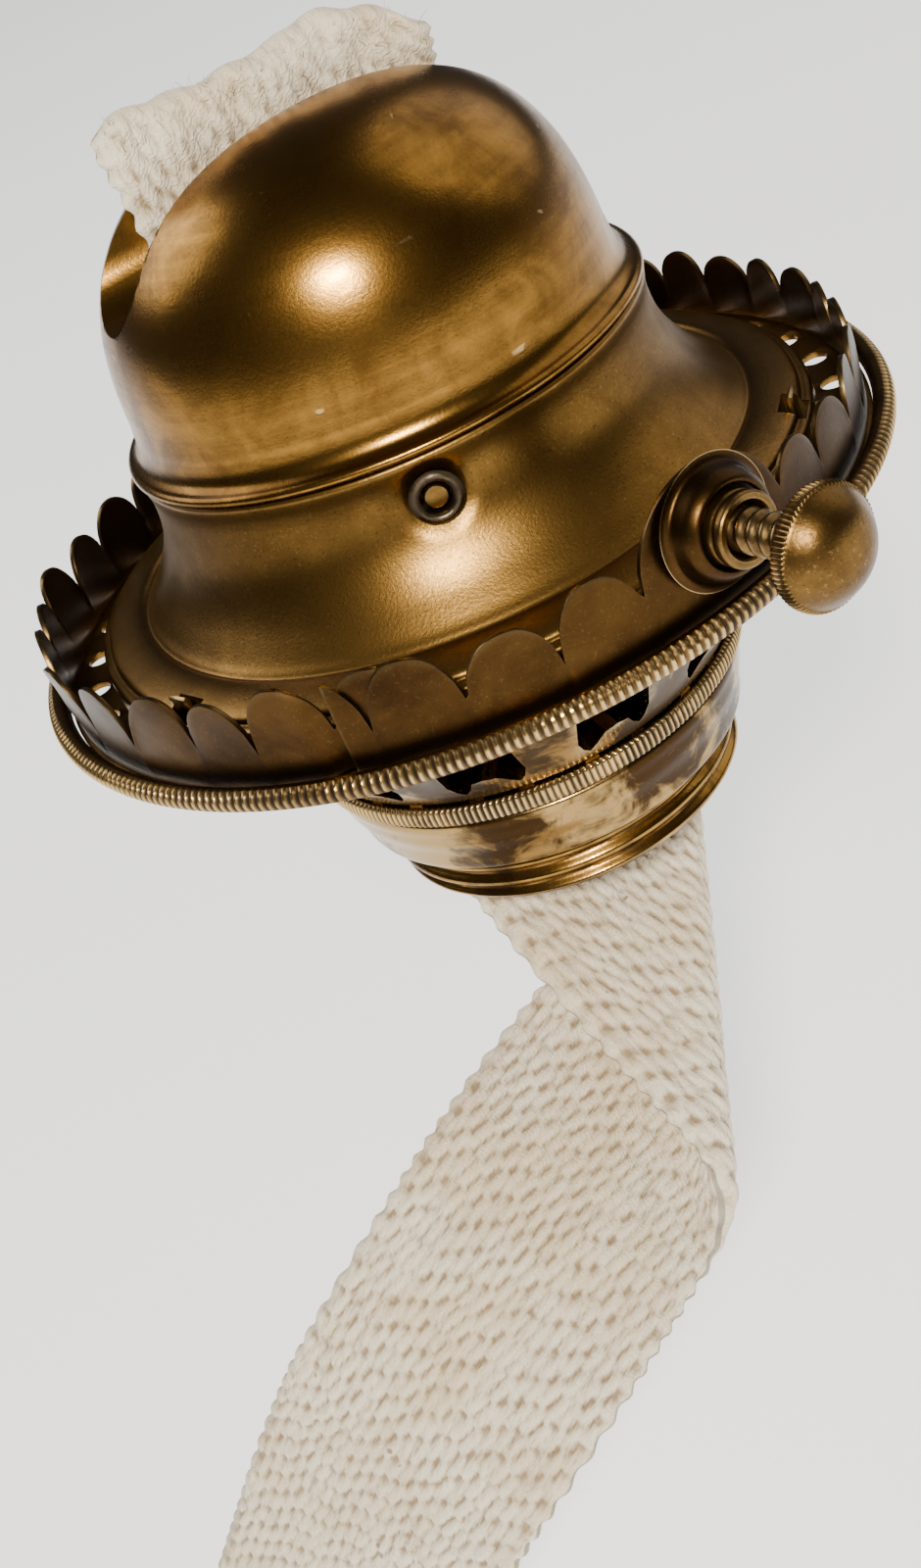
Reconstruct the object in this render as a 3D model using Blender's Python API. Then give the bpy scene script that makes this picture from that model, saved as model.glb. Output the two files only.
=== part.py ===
"""Flat-wick burner of spun brass, with a gallery for a glass chimney and a lift-off domed cone."""
import math

import bmesh
import bpy
from mathutils import Matrix, Vector

# Lengths are in metres. The origin is on the burner's axis, in the plane of the seat that
# rests on the font's collar. +Z runs up the axis and the wick's width lies along X.

# General
SHEET = 0.0005            # thickness of the spun and stamped sheet
GAP = 0.0003              # air between pieces that rest on each other
RUN = 0.00006             # radial clearance of a turning fit
ROUND_STEPS = 36          # facets round a large shell
SMALL_STEPS = 12          # facets round a pin or sleeve
DRILL_REACH = 0.003       # how far a cutting tool reaches either side of a wall
RIM_STEPS = 60            # facets round the gallery

# Wick and the clearances of its tube
WICK_WIDTH = 0.0254
WICK_THICKNESS = 0.0025
WICK_LENGTH = 0.178
WICK_ABOVE_TUBE = 0.0115
TUBE_SIDE_GAP = 0.0005
TUBE_FACE_GAP = 0.00035
TUBE_BOTTOM = 0.0004
TUBE_ABOVE_SEAM = 0.0131
WICK_ROWS = 52            # steps along the bent stretch
WICK_CROSS_STEPS = 6

# Collar that screws into the font
COLLAR_BORE = WICK_WIDTH / 2 + TUBE_SIDE_GAP + SHEET + 0.0007
COLLAR_WALL = 0.0008
THREAD_DEPTH = 0.0006
THREAD_RADIUS = COLLAR_BORE + COLLAR_WALL + THREAD_DEPTH
THREAD_PITCH = 0.0016
THREAD_TURNS = 3
SEAT_STEP = 0.0001        # from the thread's crest to the seat's flat face
SEAT_RADIUS = THREAD_RADIUS + SEAT_STEP + 0.0006
SEAT_HEIGHT = 0.0006

# Cup, lower milled bead and pierced basket
CUP_TOP_RADIUS = SEAT_RADIUS + 0.0021
CUP_HEIGHT = 0.0056
BEAD_HEIGHT = 0.0020
BEAD_RADIUS = CUP_TOP_RADIUS + 0.0008
BASKET_WAY_IN = 0.0094    # from the rim to the basket's top edge
BASKET_FLANGE = 0.0031
AIR_OPENINGS = 12
AIR_OPENING_WIDTH = 0.0064
AIR_OPENING_HEADROOM = 0.0005   # wall left between an opening and the basket's flange
AIR_OPENING_PHASE = math.radians(27)

# Gallery
DECK_HEIGHT = 0.0214      # underside of the deck above the seat
RIM_RADIUS = 0.0360
RIM_BEAD = 0.0009
BASKET_TOP_RADIUS = RIM_RADIUS - BASKET_WAY_IN
DECK_HOLES = 36
DECK_HOLE_RADIUS = 0.0011
DECK_HOLE_CIRCLE = RIM_RADIUS - 0.0042
DECK_LAND_STEP = 0.0001   # the chimney's land stands this much above the rest of the deck
CORONET_RADIUS = RIM_RADIUS - 2 * RIM_BEAD - 0.0004
CORONET_WALL = 0.0004
CORONET_BAND = 0.0024
LOBES = 36
LOBE_HEIGHT = 0.0041
LOBE_STEPS = 4
LOBE_STRETCH = 0.16       # share by which the strip was drawn out round its wide side
WIDE_SIDE = math.radians(215)

# Cone: the skirt and the slotted dome, lifted off together
SEAM_RADIUS = 0.0209
SEAM_HEIGHT = DECK_HEIGHT + 0.0155
WAIST_RADIUS = SEAM_RADIUS - 0.0002
FLANGE_RADIUS = RIM_RADIUS - 0.0058
SKIRT_FOOT_RADIUS = FLANGE_RADIUS - 0.0047
SKIRT_FOOT_HEIGHT = DECK_HEIGHT + 0.0041
DOME_RADIUS = SEAM_RADIUS - 0.0014
DOME_HEIGHT = 0.0202
DOME_START = SEAM_HEIGHT + 0.0008
SLOT_WIDTH = WICK_THICKNESS + 0.0059
SLOT_BOTTOM = DOME_START + 0.0109
DRAUGHT_HOLES = 16
DRAUGHT_HOLE_RADIUS = 0.0013
DRAUGHT_HOLE_CIRCLE = SEAM_RADIUS - 0.0004
TUBE_TOP = SEAM_HEIGHT + TUBE_ABOVE_SEAM
WICK_TOP = TUBE_TOP + WICK_ABOVE_TUBE

# Thumbscrew
SCREW_ANGLE = math.radians(280)
SCREW_HEIGHT = 0.0070     # axis above the deck's underside
SCREW_RADIUS = 0.0016
BIG_LOBE_RADIUS = 0.0065
BIG_LOBE_DROP = 0.0022    # centre of the large lobe below the screw's axis
BUSHING_RADIUS = SCREW_RADIUS + 0.0010
BUSHING_END = CORONET_RADIUS + 0.0038
BOSS_HEIGHT = 0.0020
HEAD_RADIUS = 0.0042
HEAD_START = BUSHING_END + 0.0060
HEAD_CROWN = 0.0026
PAD_RADIUS = SCREW_RADIUS + 0.0003
PAD_START = FLANGE_RADIUS + 0.0005
PAD_THICKNESS = 0.0012

# Rivets, eyelets and the springs behind them
RIVET_ANGLE = math.radians(251.8)
RIVET_HEIGHT = SEAM_HEIGHT - 0.0030
RIVET_RADIUS = 0.0009
EYELET_BORE = RIVET_RADIUS + GAP
EYELET_BARREL = EYELET_BORE + 0.0003
EYELET_LIP = 0.0020
SPRING_WIDTH = 0.0056
SPRING_LENGTH = 0.0100
SPRING_SHEET = 0.0004

# Catches that hold the cone down
CATCHES = 3
CATCH_ANGLE = math.radians(319)
CATCH_RADIUS = FLANGE_RADIUS - 0.0015
CATCH_WIDTH = 0.0020
CATCH_SLOT_GAP = 0.0005

# Raiser and the vent into the font
SHAFT_RADIUS = 0.0010
WHEEL_TEETH = 12
WHEEL_DEPTH = 0.0008
WHEEL_TIP_RADIUS = 0.0034
WHEEL_THICKNESS = 0.0006
WHEEL_SPACING = 0.0120
SHAFT_START = -0.0126
INNER_BEARING_LENGTH = 0.0022
OUTER_BEARING_IN = 0.0011
OUTER_BEARING_OUT = 0.0036
KNOB_RADIUS = 0.0046
KNOB_HEADROOM = 0.0024    # between the knob and the deck above it
SHAFT_HEIGHT = DECK_HEIGHT - KNOB_HEADROOM - KNOB_RADIUS
KNOB_LENGTH = 0.0050
KNOB_CLEAR = 0.0059       # from the basket wall to the knob
KNOB_FACE = 0.0009
VENT_RADIUS = 0.0020
VENT_OFFSET = WICK_THICKNESS / 2 + 0.00825
VENT_TOP = DECK_HEIGHT - 0.0100
VENT_BELOW_THREAD = 0.0012

# The hanging wick is a flat strip bent in turn along these lines. Each has its distance
# down the strip from the wick's top, the angle of the line across it, its radius and turn.
WICK_IN_TUBE = WICK_TOP - TUBE_BOTTOM
WICK_STRAIGHT = WICK_IN_TUBE + 0.0009
WICK_BENDS = (
    (WICK_IN_TUBE + 0.0059, math.radians(76.9), 0.0070, -0.905),
    (WICK_IN_TUBE + 0.0216, math.radians(142.0), 0.0026, 3.06),
    (WICK_IN_TUBE + 0.0492, math.radians(97.7), 0.0300, -1.077),
)


def clearObjects():
    for item in list(bpy.data.objects):
        bpy.data.objects.remove(item, do_unlink=True)


def makeMaterial(name, colour, roughness, metallic):
    material = bpy.data.materials.new(name)
    material.use_nodes = True
    shader = material.node_tree.nodes["Principled BSDF"]
    shader.inputs["Base Color"].default_value = (*colour, 1.0)
    shader.inputs["Roughness"].default_value = roughness
    shader.inputs["Metallic"].default_value = metallic
    material.diffuse_color = (*colour, 1.0)
    return material


def addObject(name, shape, material, smooth=True):
    """Turn a bmesh into a named object with its faces pointing out."""
    bmesh.ops.recalc_face_normals(shape, faces=shape.faces)
    mesh = bpy.data.meshes.new(name)
    shape.to_mesh(mesh)
    shape.free()
    if smooth:
        mesh.shade_smooth()
        mesh.set_sharp_from_angle(angle=math.radians(35))
    mesh.materials.append(material)
    item = bpy.data.objects.new(name, mesh)
    bpy.context.collection.objects.link(item)
    return item


def turned(profile, steps):
    """A closed outline of (radius, height) points, turned about Z."""
    shape = bmesh.new()
    rings = []
    for radius, height in profile:
        if radius < 1e-9:
            rings.append([shape.verts.new((0, 0, height))])
            continue
        angles = [math.tau * k / steps for k in range(steps)]
        rings.append([shape.verts.new((radius * math.cos(a), radius * math.sin(a), height))
                      for a in angles])
    for upper, lower in zip(rings, rings[1:] + rings[:1]):
        for k in range(steps):
            near, far = k, (k + 1) % steps
            corners = [upper[near % len(upper)], upper[far % len(upper)]]
            corners += [lower[far % len(lower)], lower[near % len(lower)]]
            corners = list(dict.fromkeys(corners))
            if len(corners) > 2:
                shape.faces.new(corners)
    return shape


def shell(outer, wall):
    """The outline of a sheet of even thickness under the given outer line, which runs top down."""
    inner = []
    for k, (radius, height) in enumerate(outer):
        before = Vector(outer[max(k - 1, 0)])
        after = Vector(outer[min(k + 1, len(outer) - 1)])
        along = (after - before).normalized()
        inward = Vector((along.y, -along.x))
        if k in (0, len(outer) - 1) and radius < 1e-9:
            inward = Vector((0, -1))
        inner.append((max(radius + inward.x * wall, 0.0), height + inward.y * wall))
    return list(outer) + inner[::-1]


def prism(outline, low, high):
    """A closed outline in XY, carried from one height to another."""
    shape = bmesh.new()
    bottom = [shape.verts.new((x, y, low)) for x, y in outline]
    top = [shape.verts.new((x, y, high)) for x, y in outline]
    shape.faces.new(bottom[::-1])
    shape.faces.new(top)
    for k in range(len(outline)):
        after = (k + 1) % len(outline)
        shape.faces.new((bottom[k], bottom[after], top[after], top[k]))
    return shape


def block(low, high):
    outline = [(low[0], low[1]), (high[0], low[1]), (high[0], high[1]), (low[0], high[1])]
    return prism(outline, low[2], high[2])


def circle(radius, steps, centre=(0.0, 0.0)):
    angles = [math.tau * (k + 0.5) / steps for k in range(steps)]
    return [(centre[0] + radius * math.cos(a), centre[1] + radius * math.sin(a)) for a in angles]


def flatOval(half, thick, steps=4):
    """Outline of a strip with round ends, half its width and half its thickness."""
    points = []
    for side in (1, -1):
        for k in range(steps + 1):
            turn = -math.pi / 2 + math.pi * k / steps
            away = half - thick + thick * math.cos(turn)
            points.append((side * away, side * thick * math.sin(turn)))
    return points


def tubeBetween(outer, inner, low, high):
    """A tube with matching outer and inner outlines."""
    shape = bmesh.new()
    rows = []
    for outline, height in ((outer, low), (outer, high), (inner, high), (inner, low)):
        rows.append([shape.verts.new((x, y, height)) for x, y in outline])
    for first, second in zip(rows, rows[1:] + rows[:1]):
        for k in range(len(outer)):
            after = (k + 1) % len(outer)
            shape.faces.new((first[k], first[after], second[after], second[k]))
    return shape


def merged(shapes):
    """Several shapes as one bmesh."""
    whole = bmesh.new()
    for shape in shapes:
        mesh = bpy.data.meshes.new("scratch")
        shape.to_mesh(mesh)
        shape.free()
        whole.from_mesh(mesh)
        bpy.data.meshes.remove(mesh)
    return whole


def moved(shape, matrix):
    bmesh.ops.transform(shape, matrix=matrix, verts=shape.verts)
    return shape


def radialFrame(angle, height):
    """Takes a piece's own Z to the direction that points outward at this angle."""
    outward = Vector((math.cos(angle), math.sin(angle), 0))
    up = Vector((0, 0, 1))
    across = up.cross(outward)
    frame = Matrix((across, up, outward)).transposed().to_4x4()
    frame.translation = Vector((0, 0, height))
    return frame


def cut(item, name, shape):
    """Subtract a shape from an object with a live Boolean."""
    bmesh.ops.recalc_face_normals(shape, faces=shape.faces)
    mesh = bpy.data.meshes.new(name)
    shape.to_mesh(mesh)
    shape.free()
    tool = bpy.data.objects.new(name, mesh)
    bpy.context.collection.objects.link(tool)
    tool.hide_render = True
    tool.display_type = "WIRE"
    modifier = item.modifiers.new(name, "BOOLEAN")
    modifier.operation = "DIFFERENCE"
    modifier.solver = "EXACT"
    modifier.object = tool


def threadBottom():
    return -THREAD_TURNS * THREAD_PITCH - SEAT_STEP


def makeCollar(material):
    """The seat and the ridges of the thread, one to each turn."""
    profile = [(SEAT_RADIUS, SEAT_HEIGHT), (SEAT_RADIUS, 0.0), (THREAD_RADIUS + SEAT_STEP, 0.0)]
    root = THREAD_RADIUS - THREAD_DEPTH
    for turn in range(THREAD_TURNS):
        top = -turn * THREAD_PITCH - SEAT_STEP
        profile += [(root, top), (THREAD_RADIUS, top - THREAD_PITCH / 2)]
    low = threadBottom()
    profile += [(root, low), (COLLAR_BORE, low), (COLLAR_BORE, SEAT_HEIGHT)]
    addObject("threaded_collar", turned(profile, ROUND_STEPS), material)


def makeCup(material):
    foot = SEAT_RADIUS + GAP + SHEET
    outer = [
        (CUP_TOP_RADIUS, CUP_HEIGHT),
        (CUP_TOP_RADIUS - 0.0004, CUP_HEIGHT * 0.62),
        (CUP_TOP_RADIUS - 0.0011, CUP_HEIGHT * 0.28),
        (foot, 0.0),
    ]
    addObject("base_cup", turned(shell(outer, SHEET), ROUND_STEPS), material)


def makeBead(material):
    low = CUP_HEIGHT + GAP
    inside = CUP_TOP_RADIUS - 2 * SHEET
    profile = [
        (BEAD_RADIUS - 0.0006, low + BEAD_HEIGHT),
        (BEAD_RADIUS, low + BEAD_HEIGHT * 0.7),
        (BEAD_RADIUS, low + BEAD_HEIGHT * 0.3),
        (BEAD_RADIUS - 0.0006, low),
        (inside, low),
        (inside, low + BEAD_HEIGHT),
    ]
    addObject("lower_milled_bead", turned(profile, ROUND_STEPS), material)


def basketBottom():
    return CUP_HEIGHT + GAP + BEAD_HEIGHT + GAP


def basketTop():
    return DECK_HEIGHT - GAP


def basketRadius(height):
    """Outer radius of the basket's wall at a height."""
    share = (height - basketBottom()) / (basketTop() - SHEET - basketBottom())
    return CUP_TOP_RADIUS + 0.0003 + share * (BASKET_TOP_RADIUS - CUP_TOP_RADIUS - 0.0003)


def makeBasket(material):
    """The pierced cone that carries the gallery and lets the air in."""
    low = basketBottom()
    high = basketTop()
    bottomRadius = basketRadius(low)
    profile = [
        (BASKET_TOP_RADIUS + BASKET_FLANGE, high),
        (BASKET_TOP_RADIUS + BASKET_FLANGE, high - SHEET),
        (BASKET_TOP_RADIUS, high - SHEET),
        (bottomRadius, low),
        (bottomRadius - SHEET, low),
        (BASKET_TOP_RADIUS - SHEET, high),
    ]
    basket = addObject("air_basket", turned(profile, ROUND_STEPS), material)
    half = AIR_OPENING_WIDTH / 2
    notch = low + 0.0009
    sill = notch + 0.0015
    crest = sill + 0.0006
    top = high - SHEET - AIR_OPENING_HEADROOM
    outline = [
        (-half, top), (-half, sill), (-half * 0.69, notch), (-half * 0.38, sill), (0.0, crest),
        (half * 0.38, sill), (half * 0.69, notch), (half, sill), (half, top),
    ]
    shapes = []
    for k in range(AIR_OPENINGS):
        opening = prism(outline, CUP_TOP_RADIUS - DRILL_REACH, BASKET_TOP_RADIUS + 0.001)
        shapes.append(moved(opening, radialFrame(AIR_OPENING_PHASE + math.tau * k / AIR_OPENINGS, 0)))
    radius, height = shaftCentre()
    sleeve = prism(circle(SHAFT_RADIUS + RUN + SHEET + GAP, SMALL_STEPS, (-radius, height)),
                   CUP_TOP_RADIUS - DRILL_REACH, BASKET_TOP_RADIUS + 0.001)
    cut(basket, "air_openings", merged(shapes))
    cut(basket, "bearing_hole", moved(sleeve, alongX()))


def makeDeck(material):
    low = DECK_HEIGHT
    outer = CORONET_RADIUS + RIM_BEAD * 0.1
    inner = BASKET_TOP_RADIUS + 0.0007
    land = low + SHEET
    beside = land - DECK_LAND_STEP
    landOuter = CORONET_RADIUS - CORONET_WALL - 0.0002
    landInner = FLANGE_RADIUS + 0.0002
    profile = [
        (outer, beside), (outer, low), (inner, low), (inner, beside),
        (landInner - DECK_LAND_STEP, beside), (landInner, land),
        (landOuter, land), (landOuter + DECK_LAND_STEP / 2, beside),
    ]
    deck = addObject("gallery_deck", turned(profile, RIM_STEPS), material)
    holes = []
    for k in range(DECK_HOLES):
        angle = SCREW_ANGLE + math.tau * (k + 0.5) / DECK_HOLES
        centre = (DECK_HOLE_CIRCLE * math.cos(angle), DECK_HOLE_CIRCLE * math.sin(angle))
        holes.append(prism(circle(DECK_HOLE_RADIUS, 6, centre), low - SHEET, low + 2 * SHEET))
    cut(deck, "deck_holes", merged(holes))


def makeRim(material):
    centre = RIM_RADIUS - RIM_BEAD
    height = DECK_HEIGHT + RIM_BEAD
    profile = []
    for k in range(6):
        turn = math.pi / 2 - math.tau * (k + 0.5) / 6
        profile.append((centre + RIM_BEAD * math.cos(turn), height + RIM_BEAD * math.sin(turn)))
    addObject("gallery_rim", turned(profile, RIM_STEPS), material)


def coronetTop(angle):
    """Height of the scalloped edge: round lobes, and one large lobe that holds the thumbscrew."""
    base = DECK_HEIGHT + SHEET + GAP + CORONET_BAND
    drawn = angle - LOBE_STRETCH * (math.sin(angle - WIDE_SIDE) - math.sin(SCREW_ANGLE - WIDE_SIDE))
    phase = ((drawn - SCREW_ANGLE) / math.tau * LOBES) % 1.0
    across = 2 * phase - 1
    height = LOBE_HEIGHT * (1 + 1.6 * LOBE_STRETCH * math.cos(angle - WIDE_SIDE))
    lobe = base + height * math.sqrt(max(1 - across * across, 0.0))
    turn = (angle - SCREW_ANGLE + math.pi) % math.tau - math.pi
    side = turn * CORONET_RADIUS
    if abs(side) < BIG_LOBE_RADIUS:
        centre = DECK_HEIGHT + SCREW_HEIGHT - BIG_LOBE_DROP
        lobe = max(lobe, centre + math.sqrt(BIG_LOBE_RADIUS ** 2 - side ** 2))
    return lobe


def makeCoronet(material):
    low = DECK_HEIGHT + SHEET + GAP
    steps = LOBES * LOBE_STEPS
    shape = bmesh.new()
    rows = []
    for k in range(steps):
        angle = SCREW_ANGLE + math.tau * k / steps
        high = coronetTop(angle)
        outside = CORONET_RADIUS
        inside = CORONET_RADIUS - CORONET_WALL
        row = []
        for radius, height in ((outside, low), (outside, high), (inside, high), (inside, low)):
            row.append(shape.verts.new((radius * math.cos(angle), radius * math.sin(angle), height)))
        rows.append(row)
    for first, second in zip(rows, rows[1:] + rows[:1]):
        for k in range(4):
            after = (k + 1) % 4
            shape.faces.new((first[k], first[after], second[after], second[k]))
    coronet = addObject("coronet", shape, material, smooth=False)
    hole = prism(circle(BUSHING_RADIUS + GAP, SMALL_STEPS),
                 CORONET_RADIUS - DRILL_REACH, CORONET_RADIUS + DRILL_REACH)
    cut(coronet, "screw_hole", moved(hole, screwFrame()))


def screwFrame():
    return radialFrame(SCREW_ANGLE, DECK_HEIGHT + SCREW_HEIGHT)


def makeScrewBoss(material):
    """The domed washer that stiffens the large lobe."""
    bore = BUSHING_RADIUS + GAP
    start = CORONET_RADIUS + 0.0004
    foot = SCREW_HEIGHT - 2 * RIM_BEAD - GAP
    outer = [
        (bore, start + BOSS_HEIGHT), (foot * 0.72, start + BOSS_HEIGHT * 0.9),
        (foot * 0.92, start + BOSS_HEIGHT * 0.45), (foot, start),
    ]
    profile = outer + [
        (foot - SHEET, start), (foot * 0.72 - 0.0003, start + BOSS_HEIGHT * 0.6),
        (bore, start + BOSS_HEIGHT * 0.7),
    ]
    addObject("screw_boss", moved(turned(profile, 20), screwFrame()), material)


def makeBushing(material):
    flangeBack = CORONET_RADIUS - CORONET_WALL - 0.0012
    flangeFront = flangeBack + SHEET
    bore = SCREW_RADIUS + GAP
    flange = BUSHING_RADIUS + 0.0008
    profile = [
        (BUSHING_RADIUS, BUSHING_END), (BUSHING_RADIUS, flangeFront), (flange, flangeFront),
        (flange, flangeBack), (bore, flangeBack), (bore, BUSHING_END),
    ]
    addObject("screw_bushing", moved(turned(profile, 16), screwFrame()), material)


def makeThumbscrew(brass, holder):
    start = PAD_START + PAD_THICKNESS + GAP
    stemEnd = HEAD_START + 0.0022
    stem = [(0.0, stemEnd), (SCREW_RADIUS, stemEnd), (SCREW_RADIUS, start + SCREW_RADIUS / 2),
            (SCREW_RADIUS / 2, start), (0.0, start)]
    piece = addObject("thumbscrew_stem", moved(turned(stem, SMALL_STEPS), screwFrame()), brass)
    piece.parent = holder
    bore = SCREW_RADIUS + GAP
    dome = []
    for k in range(5):
        turn = math.radians(90 - 18 * k)
        dome.append((HEAD_RADIUS * math.cos(turn), HEAD_START + 0.0008 + HEAD_CROWN * math.sin(turn)))
    socket = stemEnd + GAP
    head = dome + [(HEAD_RADIUS, HEAD_START + 0.0008), (HEAD_RADIUS, HEAD_START), (bore, HEAD_START),
                   (bore, socket), (0.0, socket)]
    piece = addObject("thumbscrew_head", moved(turned(head, 20), screwFrame()), brass)
    piece.parent = holder


def makePad(material, holder):
    end = PAD_START + PAD_THICKNESS
    pad = [(0.0, end), (PAD_RADIUS, end), (PAD_RADIUS, PAD_START + PAD_THICKNESS / 4),
           (PAD_RADIUS - PAD_THICKNESS / 3, PAD_START), (0.0, PAD_START)]
    piece = addObject("screw_pad", moved(turned(pad, SMALL_STEPS), screwFrame()), material)
    piece.parent = holder


def rivetRadius():
    """Distance of the skirt's outer face from the axis at the rivets."""
    return WAIST_RADIUS + 0.0001


def makeSkirt(material, holder):
    """The bell-shaped lower half of the cone, with the flange that rests on the deck."""
    lip = DECK_HEIGHT + SHEET + GAP
    outer = [
        (SEAM_RADIUS, SEAM_HEIGHT),
        (WAIST_RADIUS, SEAM_HEIGHT - 0.0016),
        (WAIST_RADIUS + 0.0001, SEAM_HEIGHT - 0.0038),
        (WAIST_RADIUS + 0.0009, SEAM_HEIGHT - 0.0061),
        (WAIST_RADIUS + 0.0021, SEAM_HEIGHT - 0.0081),
        (WAIST_RADIUS + 0.0036, SEAM_HEIGHT - 0.0100),
        (SKIRT_FOOT_RADIUS, SKIRT_FOOT_HEIGHT),
        (FLANGE_RADIUS - 0.0008, SKIRT_FOOT_HEIGHT - 0.0005),
        (FLANGE_RADIUS, SKIRT_FOOT_HEIGHT - 0.0012),
        (FLANGE_RADIUS, lip),
    ]
    skirt = addObject("cone_skirt", turned(shell(outer, SHEET), ROUND_STEPS), material)
    skirt.parent = holder
    cut(skirt, "catch_slots", merged([catchSlot(k) for k in range(CATCHES)]))
    holes = []
    for side in (0, 1):
        hole = prism(circle(EYELET_BARREL + GAP, SMALL_STEPS),
                     WAIST_RADIUS - DRILL_REACH, WAIST_RADIUS + DRILL_REACH)
        holes.append(moved(hole, radialFrame(RIVET_ANGLE + math.pi * side, RIVET_HEIGHT)))
    cut(skirt, "eyelet_holes", merged(holes))


def catchSlot(index):
    half = CATCH_WIDTH / 2 + CATCH_SLOT_GAP
    reach = CATCH_SLOT_GAP + 0.0002
    slot = block((CATCH_RADIUS - reach, -half, DECK_HEIGHT + 0.0012),
                 (CATCH_RADIUS + SHEET + reach, half, SKIRT_FOOT_HEIGHT + 0.002))
    return moved(slot, Matrix.Rotation(CATCH_ANGLE + math.tau * index / CATCHES, 4, "Z"))


def makeCatch(index, material):
    """A strip that stands on the deck's inner edge and springs through the flange."""
    half = CATCH_WIDTH / 2
    low = DECK_HEIGHT + SHEET + GAP
    foot = CATCH_RADIUS - 0.0008
    outline = [
        (foot, low), (CATCH_RADIUS + SHEET, low), (CATCH_RADIUS + SHEET, SKIRT_FOOT_HEIGHT + 0.0006),
        (CATCH_RADIUS, SKIRT_FOOT_HEIGHT + 0.0006), (CATCH_RADIUS, low + SHEET), (foot, low + SHEET),
    ]
    shape = moved(prism(outline, -half, half), Matrix.Rotation(math.pi / 2, 4, "X"))
    shape = moved(shape, Matrix.Rotation(CATCH_ANGLE + math.tau * index / CATCHES, 4, "Z"))
    addObject("catch_%d" % (index + 1), shape, material, smooth=False)


def domePoint(turn):
    """Outer point of the dome: 0 at its foot, a quarter turn at its top."""
    radius = DOME_RADIUS * max(math.cos(turn), 0.0) ** 0.83
    return (radius, DOME_START + DOME_HEIGHT * math.sin(turn) ** 0.71)


def makeDome(material, holder):
    quarter = math.pi / 2
    outer = [domePoint(quarter * (1 - (k / 8.0))) for k in range(8)]
    outer[0] = (0.0, DOME_START + DOME_HEIGHT)
    foot = SEAM_HEIGHT + GAP
    lip = SEAM_RADIUS + 0.0003
    outer += [
        (DOME_RADIUS + 0.0002, DOME_START + 0.0012), (SEAM_RADIUS - 0.0004, foot + SHEET + 0.0001),
        (lip, foot + SHEET), (lip, foot),
    ]
    inner = [(SEAM_RADIUS - 0.0009, foot), (DOME_RADIUS - 0.0002, DOME_START + 0.0007)]
    for k, (radius, height) in zip(range(1, 9), outer[7::-1]):
        lean = quarter * k / 8.0
        inner.append((max(radius - SHEET * math.cos(lean), 0.0), height - SHEET * math.sin(lean)))
    inner[-1] = (0.0, DOME_START + DOME_HEIGHT - SHEET)
    dome = addObject("dome", turned(outer + inner, ROUND_STEPS), material)
    dome.parent = holder
    half = SLOT_WIDTH / 2
    outline = []
    for k in range(5):
        turn = math.pi * k / 4
        outline.append((half * math.cos(turn), SLOT_BOTTOM + half - half * math.sin(turn)))
    outline += [(-half, DOME_START + 2 * DOME_HEIGHT), (half, DOME_START + 2 * DOME_HEIGHT)]
    slot = prism(outline, -2 * DOME_RADIUS, 2 * DOME_RADIUS)
    cut(dome, "flame_slot", moved(slot, alongX()))


def alongX():
    """Takes a prism's own axis to X, its X to -Y and its Y to Z."""
    return Matrix(((0, 0, 1, 0), (-1, 0, 0, 0), (0, 1, 0, 0), (0, 0, 0, 1)))


def makeRivetSet(name, angle, brass, steel, holder):
    """One rivet through the skirt, its eyelet, and the leaf spring it holds inside."""
    frame = radialFrame(angle, RIVET_HEIGHT)
    face = rivetRadius()
    springBack = face - 4 * SPRING_SHEET
    lip = [(EYELET_LIP, face + GAP + 0.0003), (EYELET_LIP, face + GAP), (EYELET_BARREL, face + GAP),
           (EYELET_BARREL, springBack - GAP), (EYELET_BORE, springBack - GAP),
           (EYELET_BORE, face + GAP + 0.0005), (EYELET_LIP - 0.0004, face + GAP + 0.0005)]
    piece = addObject(name + "_eyelet", moved(turned(lip, 16), frame), steel)
    piece.parent = holder
    headBack = springBack - 2 * GAP - SPRING_SHEET
    rodEnd = face + GAP + 0.0003
    head = RIVET_RADIUS + 0.0008
    rod = [(0.0, rodEnd), (RIVET_RADIUS, rodEnd), (RIVET_RADIUS, headBack + 0.0004),
           (head, headBack + 0.0004), (head, headBack), (0.0, headBack)]
    piece = addObject(name + "_rivet", moved(turned(rod, SMALL_STEPS), frame), brass)
    piece.parent = holder
    half = SPRING_WIDTH / 2
    strip = block((-half, -SPRING_LENGTH * 0.75, springBack),
                  (half, SPRING_LENGTH * 0.25, springBack + SPRING_SHEET))
    spring = addObject(name + "_spring", moved(strip, frame), steel, smooth=False)
    spring.parent = holder
    hole = prism(circle(EYELET_BARREL + GAP, SMALL_STEPS), springBack - 0.002, springBack + 0.002)
    cut(spring, name + "_spring_hole", moved(hole, frame))


def tubeOutline(extra):
    """The wick tube's bore, grown by some amount."""
    half = WICK_WIDTH / 2 + TUBE_SIDE_GAP + extra
    thick = WICK_THICKNESS / 2 + TUBE_FACE_GAP + extra
    return flatOval(half, thick)


def shaftCentre():
    """The raiser shaft's distance behind the axis and its height."""
    return (WICK_THICKNESS / 2 + GAP + WHEEL_TIP_RADIUS, SHAFT_HEIGHT)


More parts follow.
